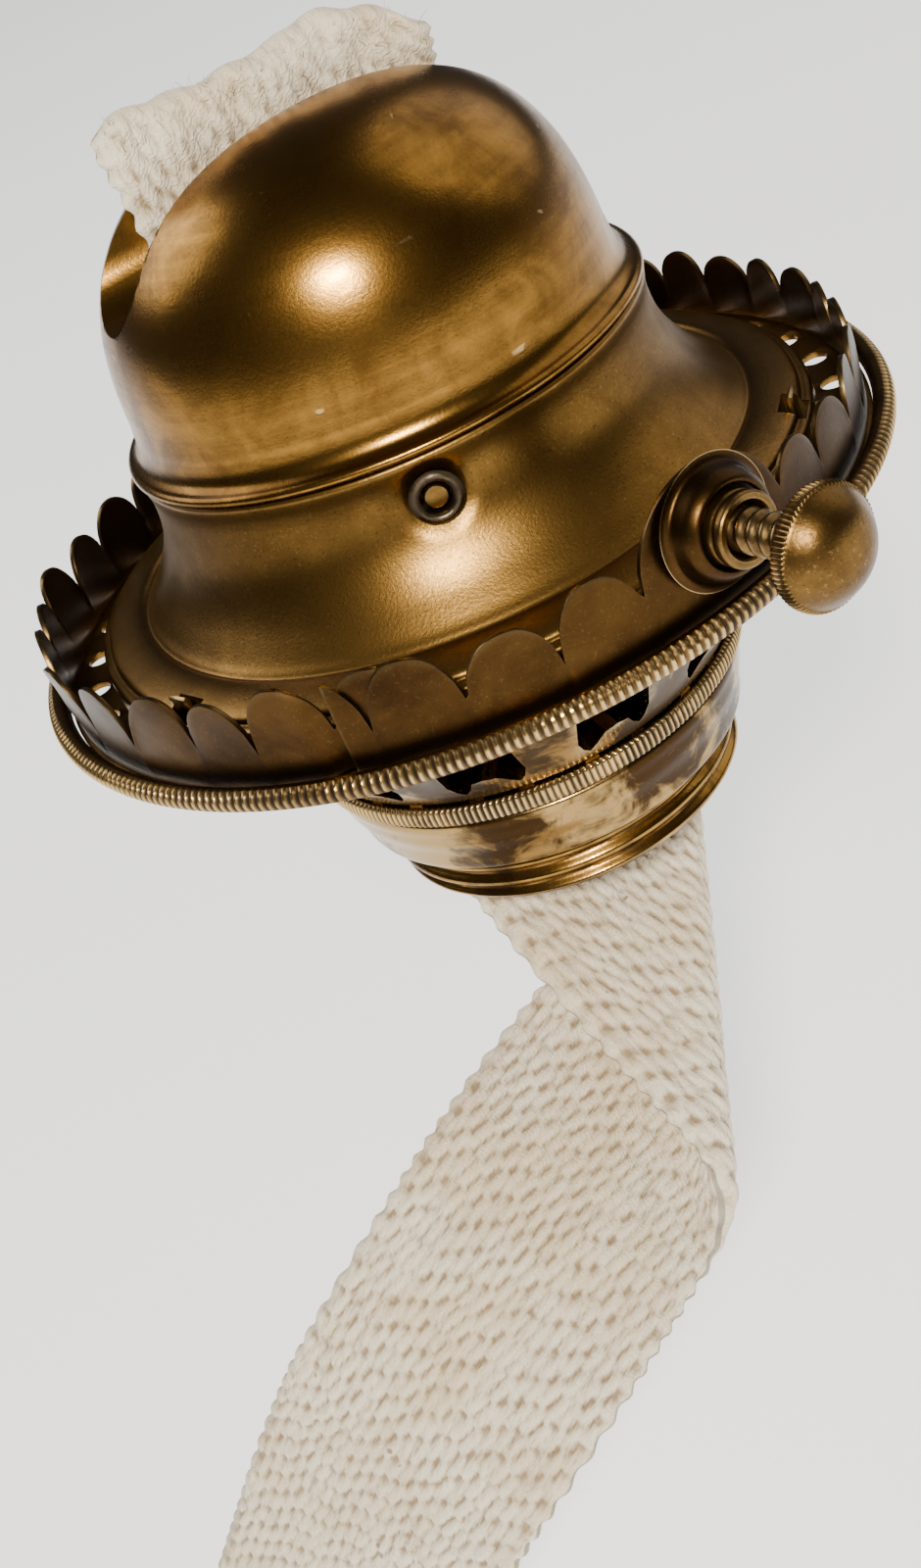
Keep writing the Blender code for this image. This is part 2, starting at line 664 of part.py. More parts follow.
def makeWickTube(material):
    shape = tubeBetween(tubeOutline(SHEET), tubeOutline(0.0), TUBE_BOTTOM, TUBE_TOP)
    tube = addObject("wick_tube", shape, material)
    windows = []
    reach = WHEEL_TIP_RADIUS + GAP
    back = WICK_THICKNESS / 2
    for side in (-1, 1):
        middle = side * WHEEL_SPACING / 2
        half = WHEEL_THICKNESS / 2 + 0.0007
        windows.append(block((middle - half, back, SHAFT_HEIGHT - reach),
                             (middle + half, back + DRILL_REACH, SHAFT_HEIGHT + reach)))
    cut(tube, "wheel_windows", merged(windows))


def ventCentre():
    return (0.0, -VENT_OFFSET)


def makePlates(material):
    """The floor that closes the cup round the tube, and the pierced plate under the cone."""
    low = SEAT_HEIGHT + GAP
    radius = SEAT_RADIUS - 0.0003
    floor = addObject("tube_base_plate", prism(circle(radius, ROUND_STEPS), low, low + SHEET), material)
    openings = [prism(tubeOutline(SHEET + GAP), low - SHEET, low + 2 * SHEET),
                prism(circle(VENT_RADIUS + GAP, SMALL_STEPS, ventCentre()), low - SHEET, low + 2 * SHEET)]
    cut(floor, "floor_openings", merged(openings))
    low = DECK_HEIGHT + 0.0001
    radius = BASKET_TOP_RADIUS + 0.0003
    plate = addObject("draught_plate", prism(circle(radius, ROUND_STEPS), low, low + SHEET), material)
    openings = [prism(tubeOutline(SHEET + GAP), low - SHEET, low + 2 * SHEET)]
    for k in range(DRAUGHT_HOLES):
        turn = math.tau * (k + 0.5) / DRAUGHT_HOLES
        centre = (DRAUGHT_HOLE_CIRCLE * math.cos(turn), DRAUGHT_HOLE_CIRCLE * math.sin(turn))
        openings.append(prism(circle(DRAUGHT_HOLE_RADIUS, 6, centre), low - SHEET, low + 2 * SHEET))
    cut(plate, "draught_holes", merged(openings))


def makeVentTube(material):
    centre = ventCentre()
    outer = circle(VENT_RADIUS, SMALL_STEPS, centre)
    inner = circle(VENT_RADIUS - SHEET, SMALL_STEPS, centre)
    low = threadBottom() - VENT_BELOW_THREAD
    addObject("vent_tube", tubeBetween(outer, inner, low, VENT_TOP), material)


def makeBearings(material):
    """The sleeve in the basket wall and the one beside the tube."""
    back, height = shaftCentre()
    bore = (SHAFT_RADIUS + RUN) / math.cos(math.pi / SMALL_STEPS)
    outside = bore + SHEET
    wall = basketRadius(height)
    farEnd = SHAFT_START + GAP
    spans = {
        "outer_bearing": (wall - OUTER_BEARING_IN, wall + OUTER_BEARING_OUT),
        "inner_bearing": (farEnd, farEnd + INNER_BEARING_LENGTH),
    }
    for name, (start, end) in spans.items():
        outer = circle(outside, SMALL_STEPS, (-back, height))
        inner = circle(bore, SMALL_STEPS, (-back, height))
        addObject(name, moved(tubeBetween(outer, inner, start, end), alongX()), material)


def makeSpindle(brass, steel, holder):
    back, height = shaftCentre()
    centre = (-back, height)
    knobStart = basketRadius(height) + KNOB_CLEAR
    end = knobStart + KNOB_LENGTH - KNOB_FACE - GAP
    rod = prism(circle(SHAFT_RADIUS, SMALL_STEPS, centre), SHAFT_START, end)
    shaft = addObject("raiser_shaft", moved(rod, alongX()), steel)
    shaft.parent = holder
    wheelBore = circle(SHAFT_RADIUS + GAP, WHEEL_TEETH * 2, centre)
    for name, side in (("feed_wheel_left", -1), ("feed_wheel_right", 1)):
        teeth = []
        for k in range(WHEEL_TEETH * 2):
            turn = math.tau * (k + 0.5) / (WHEEL_TEETH * 2)
            radius = WHEEL_TIP_RADIUS - (WHEEL_DEPTH if k % 2 else 0.0)
            teeth.append((centre[0] + radius * math.cos(turn), centre[1] + radius * math.sin(turn)))
        middle = side * WHEEL_SPACING / 2
        half = WHEEL_THICKNESS / 2
        disc = tubeBetween(teeth, wheelBore, middle - half, middle + half)
        wheel = addObject(name, moved(disc, alongX()), brass, smooth=False)
        wheel.parent = holder
    bore = SHAFT_RADIUS + GAP
    neck = bore + KNOB_FACE
    ease = KNOB_FACE * 2 / 3
    knob = turned([(0.0, KNOB_LENGTH), (KNOB_RADIUS - ease, KNOB_LENGTH), (KNOB_RADIUS, KNOB_LENGTH - ease),
                   (KNOB_RADIUS, KNOB_LENGTH * 0.55), (neck + 0.0004, KNOB_LENGTH * 0.45), (neck, 0.0),
                   (bore, 0.0), (bore, KNOB_LENGTH - KNOB_FACE), (0.0, KNOB_LENGTH - KNOB_FACE)], 24)
    place = alongX() @ Matrix.Translation((centre[0], centre[1], knobStart))
    piece = addObject("raiser_knob", moved(knob, place), brass)
    piece.parent = holder


def bentPoint(along, across, out):
    """Carry a point of the flat wick through its bends; out is its height off the middle."""
    for place, lineAngle, radius, turn in reversed(WICK_BENDS):
        line = Vector((math.cos(lineAngle), math.sin(lineAngle)))
        normal = Vector((line.y, -line.x))
        if normal.x < 0:
            normal = -normal
        flat = Vector((along - place, across))
        side = flat.dot(line)
        beyond = flat.dot(normal)
        sign = 1 if turn > 0 else -1
        arc = radius * abs(turn)
        if beyond > 0:
            angle = min(beyond, arc) / radius
            past = max(beyond - arc, 0.0)
            reach = radius - out * sign
            out = sign * (radius - reach * math.cos(angle) + past * math.sin(angle))
            beyond = reach * math.sin(angle) + past * math.cos(angle)
        across = (line * side + normal * beyond).y
        along = place + (line * side + normal * beyond).x
    return Vector((across, out, WICK_TOP - along))


def wickSection():
    """Outline of the strip's cross-section, with its long edges eased."""
    half = WICK_WIDTH / 2
    thick = WICK_THICKNESS / 2
    ease = thick / 2
    inner = half - ease
    flat = [inner * (2 * k / WICK_CROSS_STEPS - 1) for k in range(WICK_CROSS_STEPS + 1)]
    across = [-half] + flat + [half]
    lower = [(x, -(thick if abs(x) <= inner else thick - ease)) for x in across]
    return lower + [(x, -out) for x, out in reversed(lower)]


def makeWick(material, holder):
    section = wickSection()
    bentLength = WICK_LENGTH - WICK_STRAIGHT
    steps = [0.0] + [WICK_STRAIGHT + bentLength * k / WICK_ROWS for k in range(WICK_ROWS + 1)]
    shape = bmesh.new()
    rings = []
    for along in steps:
        rings.append([shape.verts.new(bentPoint(along, across, out)) for across, out in section])
    for first, second in zip(rings, rings[1:]):
        for k in range(len(section)):
            after = (k + 1) % len(section)
            shape.faces.new((first[k], second[k], second[after], first[after]))
    shape.faces.new(rings[0])
    shape.faces.new(rings[-1][::-1])
    wick = addObject("wick", shape, material)
    wick.parent = holder


def addEmpty(name, place):
    empty = bpy.data.objects.new(name, None)
    empty.location = place
    bpy.context.collection.objects.link(empty)
    return empty


def main():
    clearObjects()
    brass = makeMaterial("aged_brass", (0.42, 0.27, 0.09), 0.32, 1.0)
    dark = makeMaterial("dark_brass", (0.22, 0.14, 0.06), 0.45, 1.0)
    pale = makeMaterial("pale_brass", (0.62, 0.48, 0.25), 0.28, 1.0)
    steel = makeMaterial("grey_steel", (0.33, 0.32, 0.30), 0.4, 1.0)
    cotton = makeMaterial("cotton", (0.82, 0.78, 0.68), 0.95, 0.0)
    makeCollar(brass)
    makeCup(pale)
    makeBead(pale)
    makeBasket(pale)
    makeDeck(brass)
    makeRim(brass)
    makeCoronet(dark)
    makeScrewBoss(dark)
    makeBushing(brass)
    for k in range(CATCHES):
        makeCatch(k, brass)
    makeWickTube(dark)
    makePlates(dark)
    makeVentTube(dark)
    makeBearings(brass)
    cone = addEmpty("cone_axis", (0, 0, 0))
    makeSkirt(brass, cone)
    makeDome(brass, cone)
    makeRivetSet("front", RIVET_ANGLE, brass, steel, cone)
    makeRivetSet("rear", RIVET_ANGLE + math.pi, brass, steel, cone)
    spindle = addEmpty("spindle_axis", (0, 0, 0))
    makeSpindle(brass, steel, spindle)
    screw = addEmpty("screw_axis", (0, 0, 0))
    makeThumbscrew(brass, screw)
    makePad(brass, screw)
    wickHolder = addEmpty("wick_line", (0, 0, 0))
    makeWick(cotton, wickHolder)


main()
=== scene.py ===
import math
import random

import bmesh
import bpy
import numpy as np
from mathutils import Matrix, Vector, noise


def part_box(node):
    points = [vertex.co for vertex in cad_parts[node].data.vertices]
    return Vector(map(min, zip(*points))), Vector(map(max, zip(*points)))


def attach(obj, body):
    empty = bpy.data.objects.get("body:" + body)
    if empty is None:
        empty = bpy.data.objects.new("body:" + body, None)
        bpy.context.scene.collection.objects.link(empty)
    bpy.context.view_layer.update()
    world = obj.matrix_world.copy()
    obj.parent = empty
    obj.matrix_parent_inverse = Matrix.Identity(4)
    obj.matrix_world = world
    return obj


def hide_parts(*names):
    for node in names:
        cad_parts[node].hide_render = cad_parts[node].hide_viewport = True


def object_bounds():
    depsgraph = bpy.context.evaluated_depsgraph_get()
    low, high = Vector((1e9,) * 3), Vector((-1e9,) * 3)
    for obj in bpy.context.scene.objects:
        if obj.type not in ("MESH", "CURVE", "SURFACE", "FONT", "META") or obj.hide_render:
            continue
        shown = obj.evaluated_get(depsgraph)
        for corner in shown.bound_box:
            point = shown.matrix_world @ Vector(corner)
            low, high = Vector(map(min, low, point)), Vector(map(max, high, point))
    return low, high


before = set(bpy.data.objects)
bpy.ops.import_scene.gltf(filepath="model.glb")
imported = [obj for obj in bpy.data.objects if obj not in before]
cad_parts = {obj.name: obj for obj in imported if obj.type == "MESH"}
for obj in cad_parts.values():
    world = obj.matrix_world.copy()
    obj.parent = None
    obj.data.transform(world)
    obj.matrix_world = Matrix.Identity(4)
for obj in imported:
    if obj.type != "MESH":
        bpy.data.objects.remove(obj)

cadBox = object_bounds()
mm = 0.001
tau = math.tau


# ---- camera, light and floor

viewpoint = {
    "place": (-42.94 * mm, -138.98 * mm, 88.11 * mm),
    "aim": (-10.47 * mm, -6.80 * mm, 5.08 * mm),
    "roll": math.radians(25.35),
    "lens": 45.09,
}
studio = {
    "floorHeight": cadBox[0][2] - 2 * mm,
    "floorColour": (0.84, 0.835, 0.82),
    "floorGlow": 1.15,
    "world": (0.80, 0.80, 0.82),
    "worldStrength": 0.08,
}
lamps = [
    # name, place, size, watts, colour
    ("keyLamp", (-0.19, -0.44, 0.36), 0.085, 5.6, (1.0, 0.95, 0.86)),
    ("fillLamp", (0.75, 0.05, 0.60), 1.10, 3.2, (1.0, 0.95, 0.88)),
    ("backLamp", (-0.45, 0.50, 0.60), 0.60, 3.4, (0.97, 0.98, 1.0)),
]


def makeCamera():
    data = bpy.data.cameras.new("studioCamera")
    data.lens = viewpoint["lens"]
    data.sensor_width = 36
    data.clip_start = 0.005
    camera = bpy.data.objects.new("studioCamera", data)
    bpy.context.collection.objects.link(camera)
    place = Vector(viewpoint["place"])
    back = (place - Vector(viewpoint["aim"])).normalized()
    side = Vector((0, 0, 1)).cross(back).normalized()
    up = back.cross(side)
    lean = viewpoint["roll"]
    right = side * math.cos(lean) - up * math.sin(lean)
    top = up * math.cos(lean) + side * math.sin(lean)
    turn = Matrix((right, top, back)).transposed().to_4x4()
    camera.matrix_world = Matrix.Translation(place) @ turn
    bpy.context.scene.camera = camera


def makeStudio():
    world = bpy.data.worlds.new("studioWorld")
    world.use_nodes = True
    background = world.node_tree.nodes["Background"]
    background.inputs["Color"].default_value = (*studio["world"], 1)
    background.inputs["Strength"].default_value = studio["worldStrength"]
    bpy.context.scene.world = world
    for name, place, size, watts, colour in lamps:
        data = bpy.data.lights.new(name, "AREA")
        data.shape = "DISK"
        data.size = size
        data.energy = watts
        data.color = colour
        lamp = bpy.data.objects.new(name, data)
        bpy.context.collection.objects.link(lamp)
        lamp.location = place
        lamp.rotation_euler = (Vector((0, 0, 0.02)) - Vector(place)).to_track_quat("-Z", "Y").to_euler()
    bpy.ops.object.select_all(action="DESELECT")
    bpy.ops.mesh.primitive_plane_add(size=8.0, location=(0, 0, studio["floorHeight"]))
    floor = bpy.context.object
    floor.name = "studioFloor"
    paint = Paint("floorPaper")
    paint.set({"Base Color": (*studio["floorColour"], 1), "Roughness": 0.9, "Specular IOR Level": 0.2,
               "Emission Color": (1, 0.995, 0.98, 1), "Emission Strength": studio["floorGlow"]})
    floor.data.materials.append(paint.material)


# ---- materials

class Wire:
    # a number socket that takes part in ordinary sums
    def __init__(self, paint, socket):
        self.paint = paint
        self.socket = socket

    def join(self, operation, first, second=0.0):
        made = self.paint.node("ShaderNodeMath", {"operation": operation}, {0: first, 1: second})
        return Wire(self.paint, made.outputs[0])

    def __add__(self, other):
        return self.join("ADD", self, other)

    def __radd__(self, other):
        return self.join("ADD", other, self)

    def __sub__(self, other):
        return self.join("SUBTRACT", self, other)

    def __rsub__(self, other):
        return self.join("SUBTRACT", other, self)

    def __mul__(self, other):
        return self.join("MULTIPLY", self, other)

    def __rmul__(self, other):
        return self.join("MULTIPLY", other, self)

    def __truediv__(self, other):
        return self.join("DIVIDE", self, other)

    def __pow__(self, other):
        return self.join("POWER", self, other)

    def __abs__(self):
        return self.join("ABSOLUTE", self)

    def sine(self):
        return self.join("SINE", self)

    def between(self, low, high):
        # 0 below low, 1 above high, eased between them
        sockets = {"Value": self, "From Min": low, "From Max": high}
        made = self.paint.node("ShaderNodeMapRange", {"interpolation_type": "SMOOTHSTEP"}, sockets)
        return Wire(self.paint, made.outputs[0])


class Paint:
    def __init__(self, name):
        self.material = bpy.data.materials.new(name)
        self.material.use_nodes = True
        self.tree = self.material.node_tree
        self.shader = self.tree.nodes["Principled BSDF"]

    def node(self, kind, settings=None, sockets=None):
        made = self.tree.nodes.new(kind)
        for key, value in (settings or {}).items():
            setattr(made, key, value)
        self.fill(made, sockets or {})
        return made

    def fill(self, made, sockets):
        for key, value in sockets.items():
            if isinstance(value, Wire):
                value = value.socket
            if isinstance(value, bpy.types.NodeSocket):
                self.tree.links.new(value, made.inputs[key])
            else:
                made.inputs[key].default_value = value

    def set(self, sockets):
        self.fill(self.shader, sockets)

    def place(self, scale=(1, 1, 1), turn=(0, 0, 0), kind="Object"):
        # object coordinates, stretched and turned
        source = self.node("ShaderNodeTexCoord").outputs[kind]
        made = self.node("ShaderNodeMapping", {"vector_type": "POINT"},
                         {"Vector": source, "Scale": scale, "Rotation": turn})
        return made.outputs[0]

    def noise(self, place, scale, detail=3.0, roughness=0.55, distortion=0.0):
        made = self.node("ShaderNodeTexNoise", {"noise_dimensions": "3D"}, {
            "Vector": place, "Scale": scale, "Detail": detail, "Roughness": roughness, "Distortion": distortion})
        return Wire(self, made.outputs[0])

    def mark(self, name):
        # an attribute of the piece, 0 where it has none
        made = self.node("ShaderNodeAttribute", {"attribute_name": name})
        return Wire(self, made.outputs["Fac"])

    def blend(self, amount, first, second):
        made = self.node("ShaderNodeMix", {"data_type": "RGBA"}, {0: amount, 6: first, 7: second})
        return made.outputs[2]

    def relief(self, height, depth, strength=1.0, normal=None):
        sockets = {"Height": height, "Distance": depth, "Strength": strength}
        if normal is not None:
            sockets["Normal"] = normal
        return self.node("ShaderNodeBump", None, sockets).outputs[0]


def colour(red, green, blue):
    return (red, green, blue, 1.0)


brassLooks = {
    # name: clean metal, tarnish, share of tarnish, roughness of clean and of tarnished metal, streaks,
    # softness of the tarnish's edge, scratches, grain
    "domeBrass": (colour(0.36, 0.185, 0.038), colour(0.115, 0.053, 0.010), 0.50, 0.18, 0.29, 1.0, 0.30, 1.0, 0.8),
    "satinBrass": (colour(0.25, 0.135, 0.032), colour(0.115, 0.058, 0.014), 0.52, 0.30, 0.38, 0.25, 0.40, 0.25, 1.3),
    "agedBrass": (colour(0.30, 0.165, 0.040), colour(0.085, 0.042, 0.010), 0.56, 0.28, 0.42, 0.5, 0.25, 0.2, 1.2),
    "galleryBrass": (colour(0.27, 0.155, 0.042), colour(0.060, 0.030, 0.008), 0.58, 0.24, 0.40, 0.5, 0.16, 0.0, 0.8),
    "lobeBrass": (colour(0.065, 0.033, 0.009), colour(0.026, 0.012, 0.004), 0.55, 0.28, 0.40, 0.2, 0.30, 0.0, 0.6),
    "paleBrass": (colour(0.36, 0.23, 0.085), colour(0.040, 0.020, 0.006), 0.55, 0.20, 0.32, 0.5, 0.09, 0.4, 0.7),
    "threadBrass": (colour(0.34, 0.185, 0.042), colour(0.055, 0.027, 0.008), 0.50, 0.14, 0.30, 0.6, 0.16, 0.3, 0.6),
    "screwBrass": (colour(0.24, 0.155, 0.060), colour(0.075, 0.042, 0.015), 0.52, 0.24, 0.38, 0.3, 0.2, 0.0, 0.8),
    "knobBrass": (colour(0.17, 0.095, 0.026), colour(0.060, 0.030, 0.009), 0.52, 0.28, 0.38, 0.3, 0.28, 0.2, 1.3),
}


def makeBrass(name):
    clean, tarnish, share, smoothest, roughest, streaks, softness, scratches, graininess = brassLooks[name]
    paint = Paint(name)
    even = paint.place()
    broad = paint.noise(even, 75, 4, 0.6, 0.6)
    patches = paint.noise(even, 210, 5, 0.62, 0.9)
    grain = paint.noise(even, 4300, 3, 0.65)
    turned = paint.noise(paint.place((25, 25, 1400)), 1.0, 4, 0.6)
    wiped = paint.noise(paint.place((45, 240, 900), (0.4, 0.35, 0.2)), 1.0, 4, 0.6)
    # thin straight scratches, two ways across, each only in places
    first = paint.noise(paint.place((900, 34, 900), (0.5, 0.9, 0.3)), 1.0, 1, 0.4)
    second = paint.noise(paint.place((30, 760, 760), (1.1, 0.2, 0.7)), 1.0, 1, 0.4)
    here = patches.between(0.50, 0.64)
    hairs = first.between(0.725, 0.775) * here + second.between(0.725, 0.775) * (1 - patches.between(0.42, 0.52))
    hollowShade = paint.mark("hollowShade")
    worn = paint.mark("worn")
    mottle = broad * 0.85 + patches * 0.75 + turned * (0.28 * streaks) + wiped * (0.22 * streaks)
    middle = 0.5 * (0.85 + 0.75 + 0.5 * streaks)
    tarnished = (mottle + (share - 0.5) * 0.55).between(middle - softness, middle + softness)
    tarnished = tarnished * (1 - worn * 0.9)
    specks = grain.between(0.56, 0.72) * (0.5 * graininess)
    base = paint.blend(tarnished, clean, tarnish)
    base = paint.blend((specks * (1 - worn)).between(0.0, 1.0), base, colour(0.035, 0.019, 0.008))
    base = paint.blend((grain.between(0.44, 0.30) * 0.22 * graininess).between(0.0, 1.0), base, colour(0.62, 0.42, 0.16))
    base = paint.blend((hairs * (0.45 * scratches)).between(0.0, 1.0), base, colour(0.85, 0.62, 0.30))
    base = paint.blend((worn * 0.75).between(0.0, 1.0), base, colour(0.80, 0.58, 0.26))
    # painted shade: the hollows darkened almost to black
    base = paint.blend((hollowShade * 0.92).between(0.0, 1.0), base, colour(0.020, 0.012, 0.006))
    rough = tarnished * (roughest - smoothest) + smoothest + grain * 0.10 - 0.04 + hollowShade * 0.25 - worn * 0.08
    height = grain * (0.45 * graininess) + patches * 0.35 + turned * (0.25 * streaks) - hairs * (0.3 * scratches)
    paint.set({
        "Base Color": base, "Roughness": rough, "Metallic": 1.0 - hollowShade * 0.35,
        "Normal": paint.relief(height, 0.05 * mm, 0.6),
    })
    return paint.material


def makeSteel():
    paint = Paint("greySteel")
    even = paint.place()
    patches = paint.noise(even, 420, 5, 0.6, 0.6)
    grain = paint.noise(even, 3200, 3, 0.6)
    rusty = patches.between(0.46, 0.66)
    hollowShade = paint.mark("hollowShade")
    base = paint.blend(rusty, colour(0.115, 0.088, 0.055), colour(0.050, 0.031, 0.016))
    # painted shade in the hollows
    base = paint.blend(hollowShade, base, colour(0.03, 0.022, 0.015))
    paint.set({
        "Base Color": base, "Roughness": rusty * 0.2 + 0.32 + grain * 0.1, "Metallic": 1.0 - rusty * 0.4,
        "Normal": paint.relief(grain + patches, 0.04 * mm, 0.5),
    })
    return paint.material


def makeDark():
    # soot-brown inside of the wick tube
    paint = Paint("sootedBrass")
    even = paint.place()
    patches = paint.noise(even, 260, 5, 0.6, 0.5)
    grain = paint.noise(even, 2600, 3, 0.6)
    base = paint.blend(patches.between(0.35, 0.7), colour(0.035, 0.023, 0.014), colour(0.16, 0.10, 0.045))
    paint.set({
        "Base Color": base, "Roughness": patches * 0.2 + 0.5, "Metallic": 0.7,
        "Normal": paint.relief(grain, 0.05 * mm, 0.5),
    })
    return paint.material


cottonLook = {
    "yarnPitch": 1.12 * mm,      # between neighbouring yarns across the wick
    "light": colour(0.86, 0.755, 0.575),
    "warm": colour(0.76, 0.61, 0.385),
    "shade": colour(0.33, 0.235, 0.13),
    "speck": colour(0.22, 0.13, 0.06),
    "plyPitch": 0.62 * mm,
}


def makeCotton():
    paint = Paint("cottonYarn")
    flat = paint.place((1, 1, 1), (0, 0, 0), "UV")
    parts = paint.node("ShaderNodeSeparateXYZ", None, {0: flat})
    across = Wire(paint, parts.outputs[0])       # metres across the strip
    along = Wire(paint, parts.outputs[1])        # metres along it
    even = paint.place()
    # the twist of each yarn: fine slanted ridges
    wander = paint.noise(even, 900, 3, 0.6)
    ply = ((along / cottonLook["plyPitch"] + across / (0.75 * mm) + wander * 4.5) * tau).sine()
    fibre = paint.noise(paint.place((3000, 620, 1), (0, 0, 0.45), "UV"), 1.0, 4, 0.65, 0.6)
    strand = paint.noise(paint.place((1500, 480, 1), (0, 0, 0.6), "UV"), 1.0, 2, 0.5, 0.8)
    fuzz = paint.noise(even, 5200, 3, 0.7)
    soft = paint.noise(even, 95, 4, 0.6)
    hollowShade = paint.mark("hollowShade")
    specks = paint.noise(even, 560, 1, 0.4).between(0.79, 0.82)
    base = paint.blend(soft.between(0.38, 0.66) * 0.75, cottonLook["light"], cottonLook["warm"])
    # painted shade in the hollows between stitches, with darker strands and fibres at random
    base = paint.blend((hollowShade * 0.80 + strand.between(0.54, 0.32) * 0.20 + fibre.between(0.52, 0.32) * 0.30).between(0.0, 1.0),
                       base, cottonLook["shade"])
    base = paint.blend(specks * 0.8, base, cottonLook["speck"])
    height = ply * 0.14 + fibre * 0.70 + strand * 0.55 + fuzz * 0.40
    paint.set({
        "Base Color": base, "Roughness": 0.93, "Specular IOR Level": 0.25, "Sheen Weight": 0.25,
        "Sheen Roughness": 0.45, "Normal": paint.relief(height, 0.20 * mm, 0.9),
    })
    return paint.material


# ---- shared ways of making pieces

def bare():
    if bpy.context.object and bpy.context.object.mode != "OBJECT":
        bpy.ops.object.mode_set(mode="OBJECT")
    bpy.ops.object.select_all(action="DESELECT")


def only(piece):
    bare()
    piece.select_set(True)
    bpy.context.view_layer.objects.active = piece


def rounded(points, share=4):
    # a smooth line through points given in millimetres, returned in metres
    line = [Vector(p) * mm for p in points]
    padded = [2 * line[0] - line[1], *line, 2 * line[-1] - line[-2]]
    made = []
    for a, b, c, d in zip(padded, padded[1:], padded[2:], padded[3:]):
        for k in range(share):
            t = k / share
            made.append(0.5 * (2 * b + (c - a) * t + (2 * a - 5 * b + 4 * c - d) * t * t
                               + (3 * b - a - 3 * c + d) * t * t * t))
    made.append(line[-1])
    return [tuple(p) for p in made]


def straight(points):
    return [(r * mm, z * mm) for r, z in points]


def turnedPiece(name, line, steps, closed=False):
    # a vertex drawn along the line, then spun about Z
    bare()
    bpy.ops.mesh.primitive_plane_add(size=mm, location=(0, 0, 0))
    piece = bpy.context.object
    piece.name = name
    bpy.ops.object.mode_set(mode="EDIT")
    bpy.ops.mesh.select_all(action="SELECT")
    bpy.ops.mesh.merge(type="CENTER")
    bpy.ops.transform.translate(value=(line[0][0], 0, line[0][1]))
    route = line + [line[0]] if closed else line
    for before, after in zip(route, route[1:]):
        step = (after[0] - before[0], 0, after[1] - before[1])
        bpy.ops.mesh.extrude_region_move(TRANSFORM_OT_translate={"value": step})
    bpy.ops.mesh.select_all(action="SELECT")
    bpy.ops.mesh.spin(steps=steps, angle=tau, center=(0, 0, 0), axis=(0, 0, 1))
    bpy.ops.mesh.select_all(action="SELECT")
    bpy.ops.mesh.remove_doubles(threshold=0.002 * mm)
    bpy.ops.mesh.normals_make_consistent(inside=False)
    bpy.ops.object.mode_set(mode="OBJECT")
    return piece


def facing(piece, outwards=True):
    # an open shell: turn its faces away from the axis, or towards it
    only(piece)
    bpy.ops.object.mode_set(mode="EDIT")
    bpy.ops.mesh.select_all(action="SELECT")
    bpy.ops.mesh.normals_make_consistent(inside=not outwards)
    bpy.ops.object.mode_set(mode="OBJECT")
    mesh = piece.data
    total = sum(f.area * f.normal.dot(Vector((f.center.x, f.center.y, 0)).normalized() * 0.5 + Vector((0, 0, 0.5)))
                for f in mesh.polygons)
    if (total < 0) == outwards:
        mesh.flip_normals()


def addModifier(piece, kind, settings):
    only(piece)
    made = piece.modifiers.new(kind.lower(), kind)
    for key, value in settings.items():
        setattr(made, key, value)
    bpy.ops.object.modifier_apply(modifier=made.name)


def thicken(piece, wall):
    # the given shell is the outer face
    addModifier(piece, "SOLIDIFY", {"thickness": wall, "offset": -1.0, "use_even_offset": True, "use_rim": True})


def easeEdges(piece, width, segments=2, angle=40):
    addModifier(piece, "BEVEL", {
        "width": width, "segments": segments, "limit_method": "ANGLE", "angle_limit": math.radians(angle),
        "use_clamp_overlap": True, "harden_normals": False})


def cutAway(piece, tool):
    only(piece)
    made = piece.modifiers.new("cut", "BOOLEAN")
    made.operation = "DIFFERENCE"
    made.solver = "EXACT"
    made.object = tool
    bpy.ops.object.modifier_apply(modifier=made.name)
    bpy.data.objects.remove(tool, do_unlink=True)


def reshape(piece, rule):
    # move every vertex by a rule, as with a sculpting brush
    mesh = piece.data
    places = np.empty(len(mesh.vertices) * 3)
    mesh.vertices.foreach_get("co", places)
    places = rule(places.reshape(-1, 3))
    mesh.vertices.foreach_set("co", np.ascontiguousarray(places, dtype=np.float64).ravel())
    mesh.update()


def dent(piece, amount, size, seed):
    # slow waves of a hand-worn sheet
    mesh = piece.data
    shift = Vector((seed * 7.1, seed * 3.3, seed * 1.7))
    for v in mesh.vertices:
        away = Vector((v.co.x, v.co.y, 0))
        if away.length > mm:
            away.normalize()
            v.co += away * (noise.noise(v.co / size + shift) * amount)
    mesh.update()


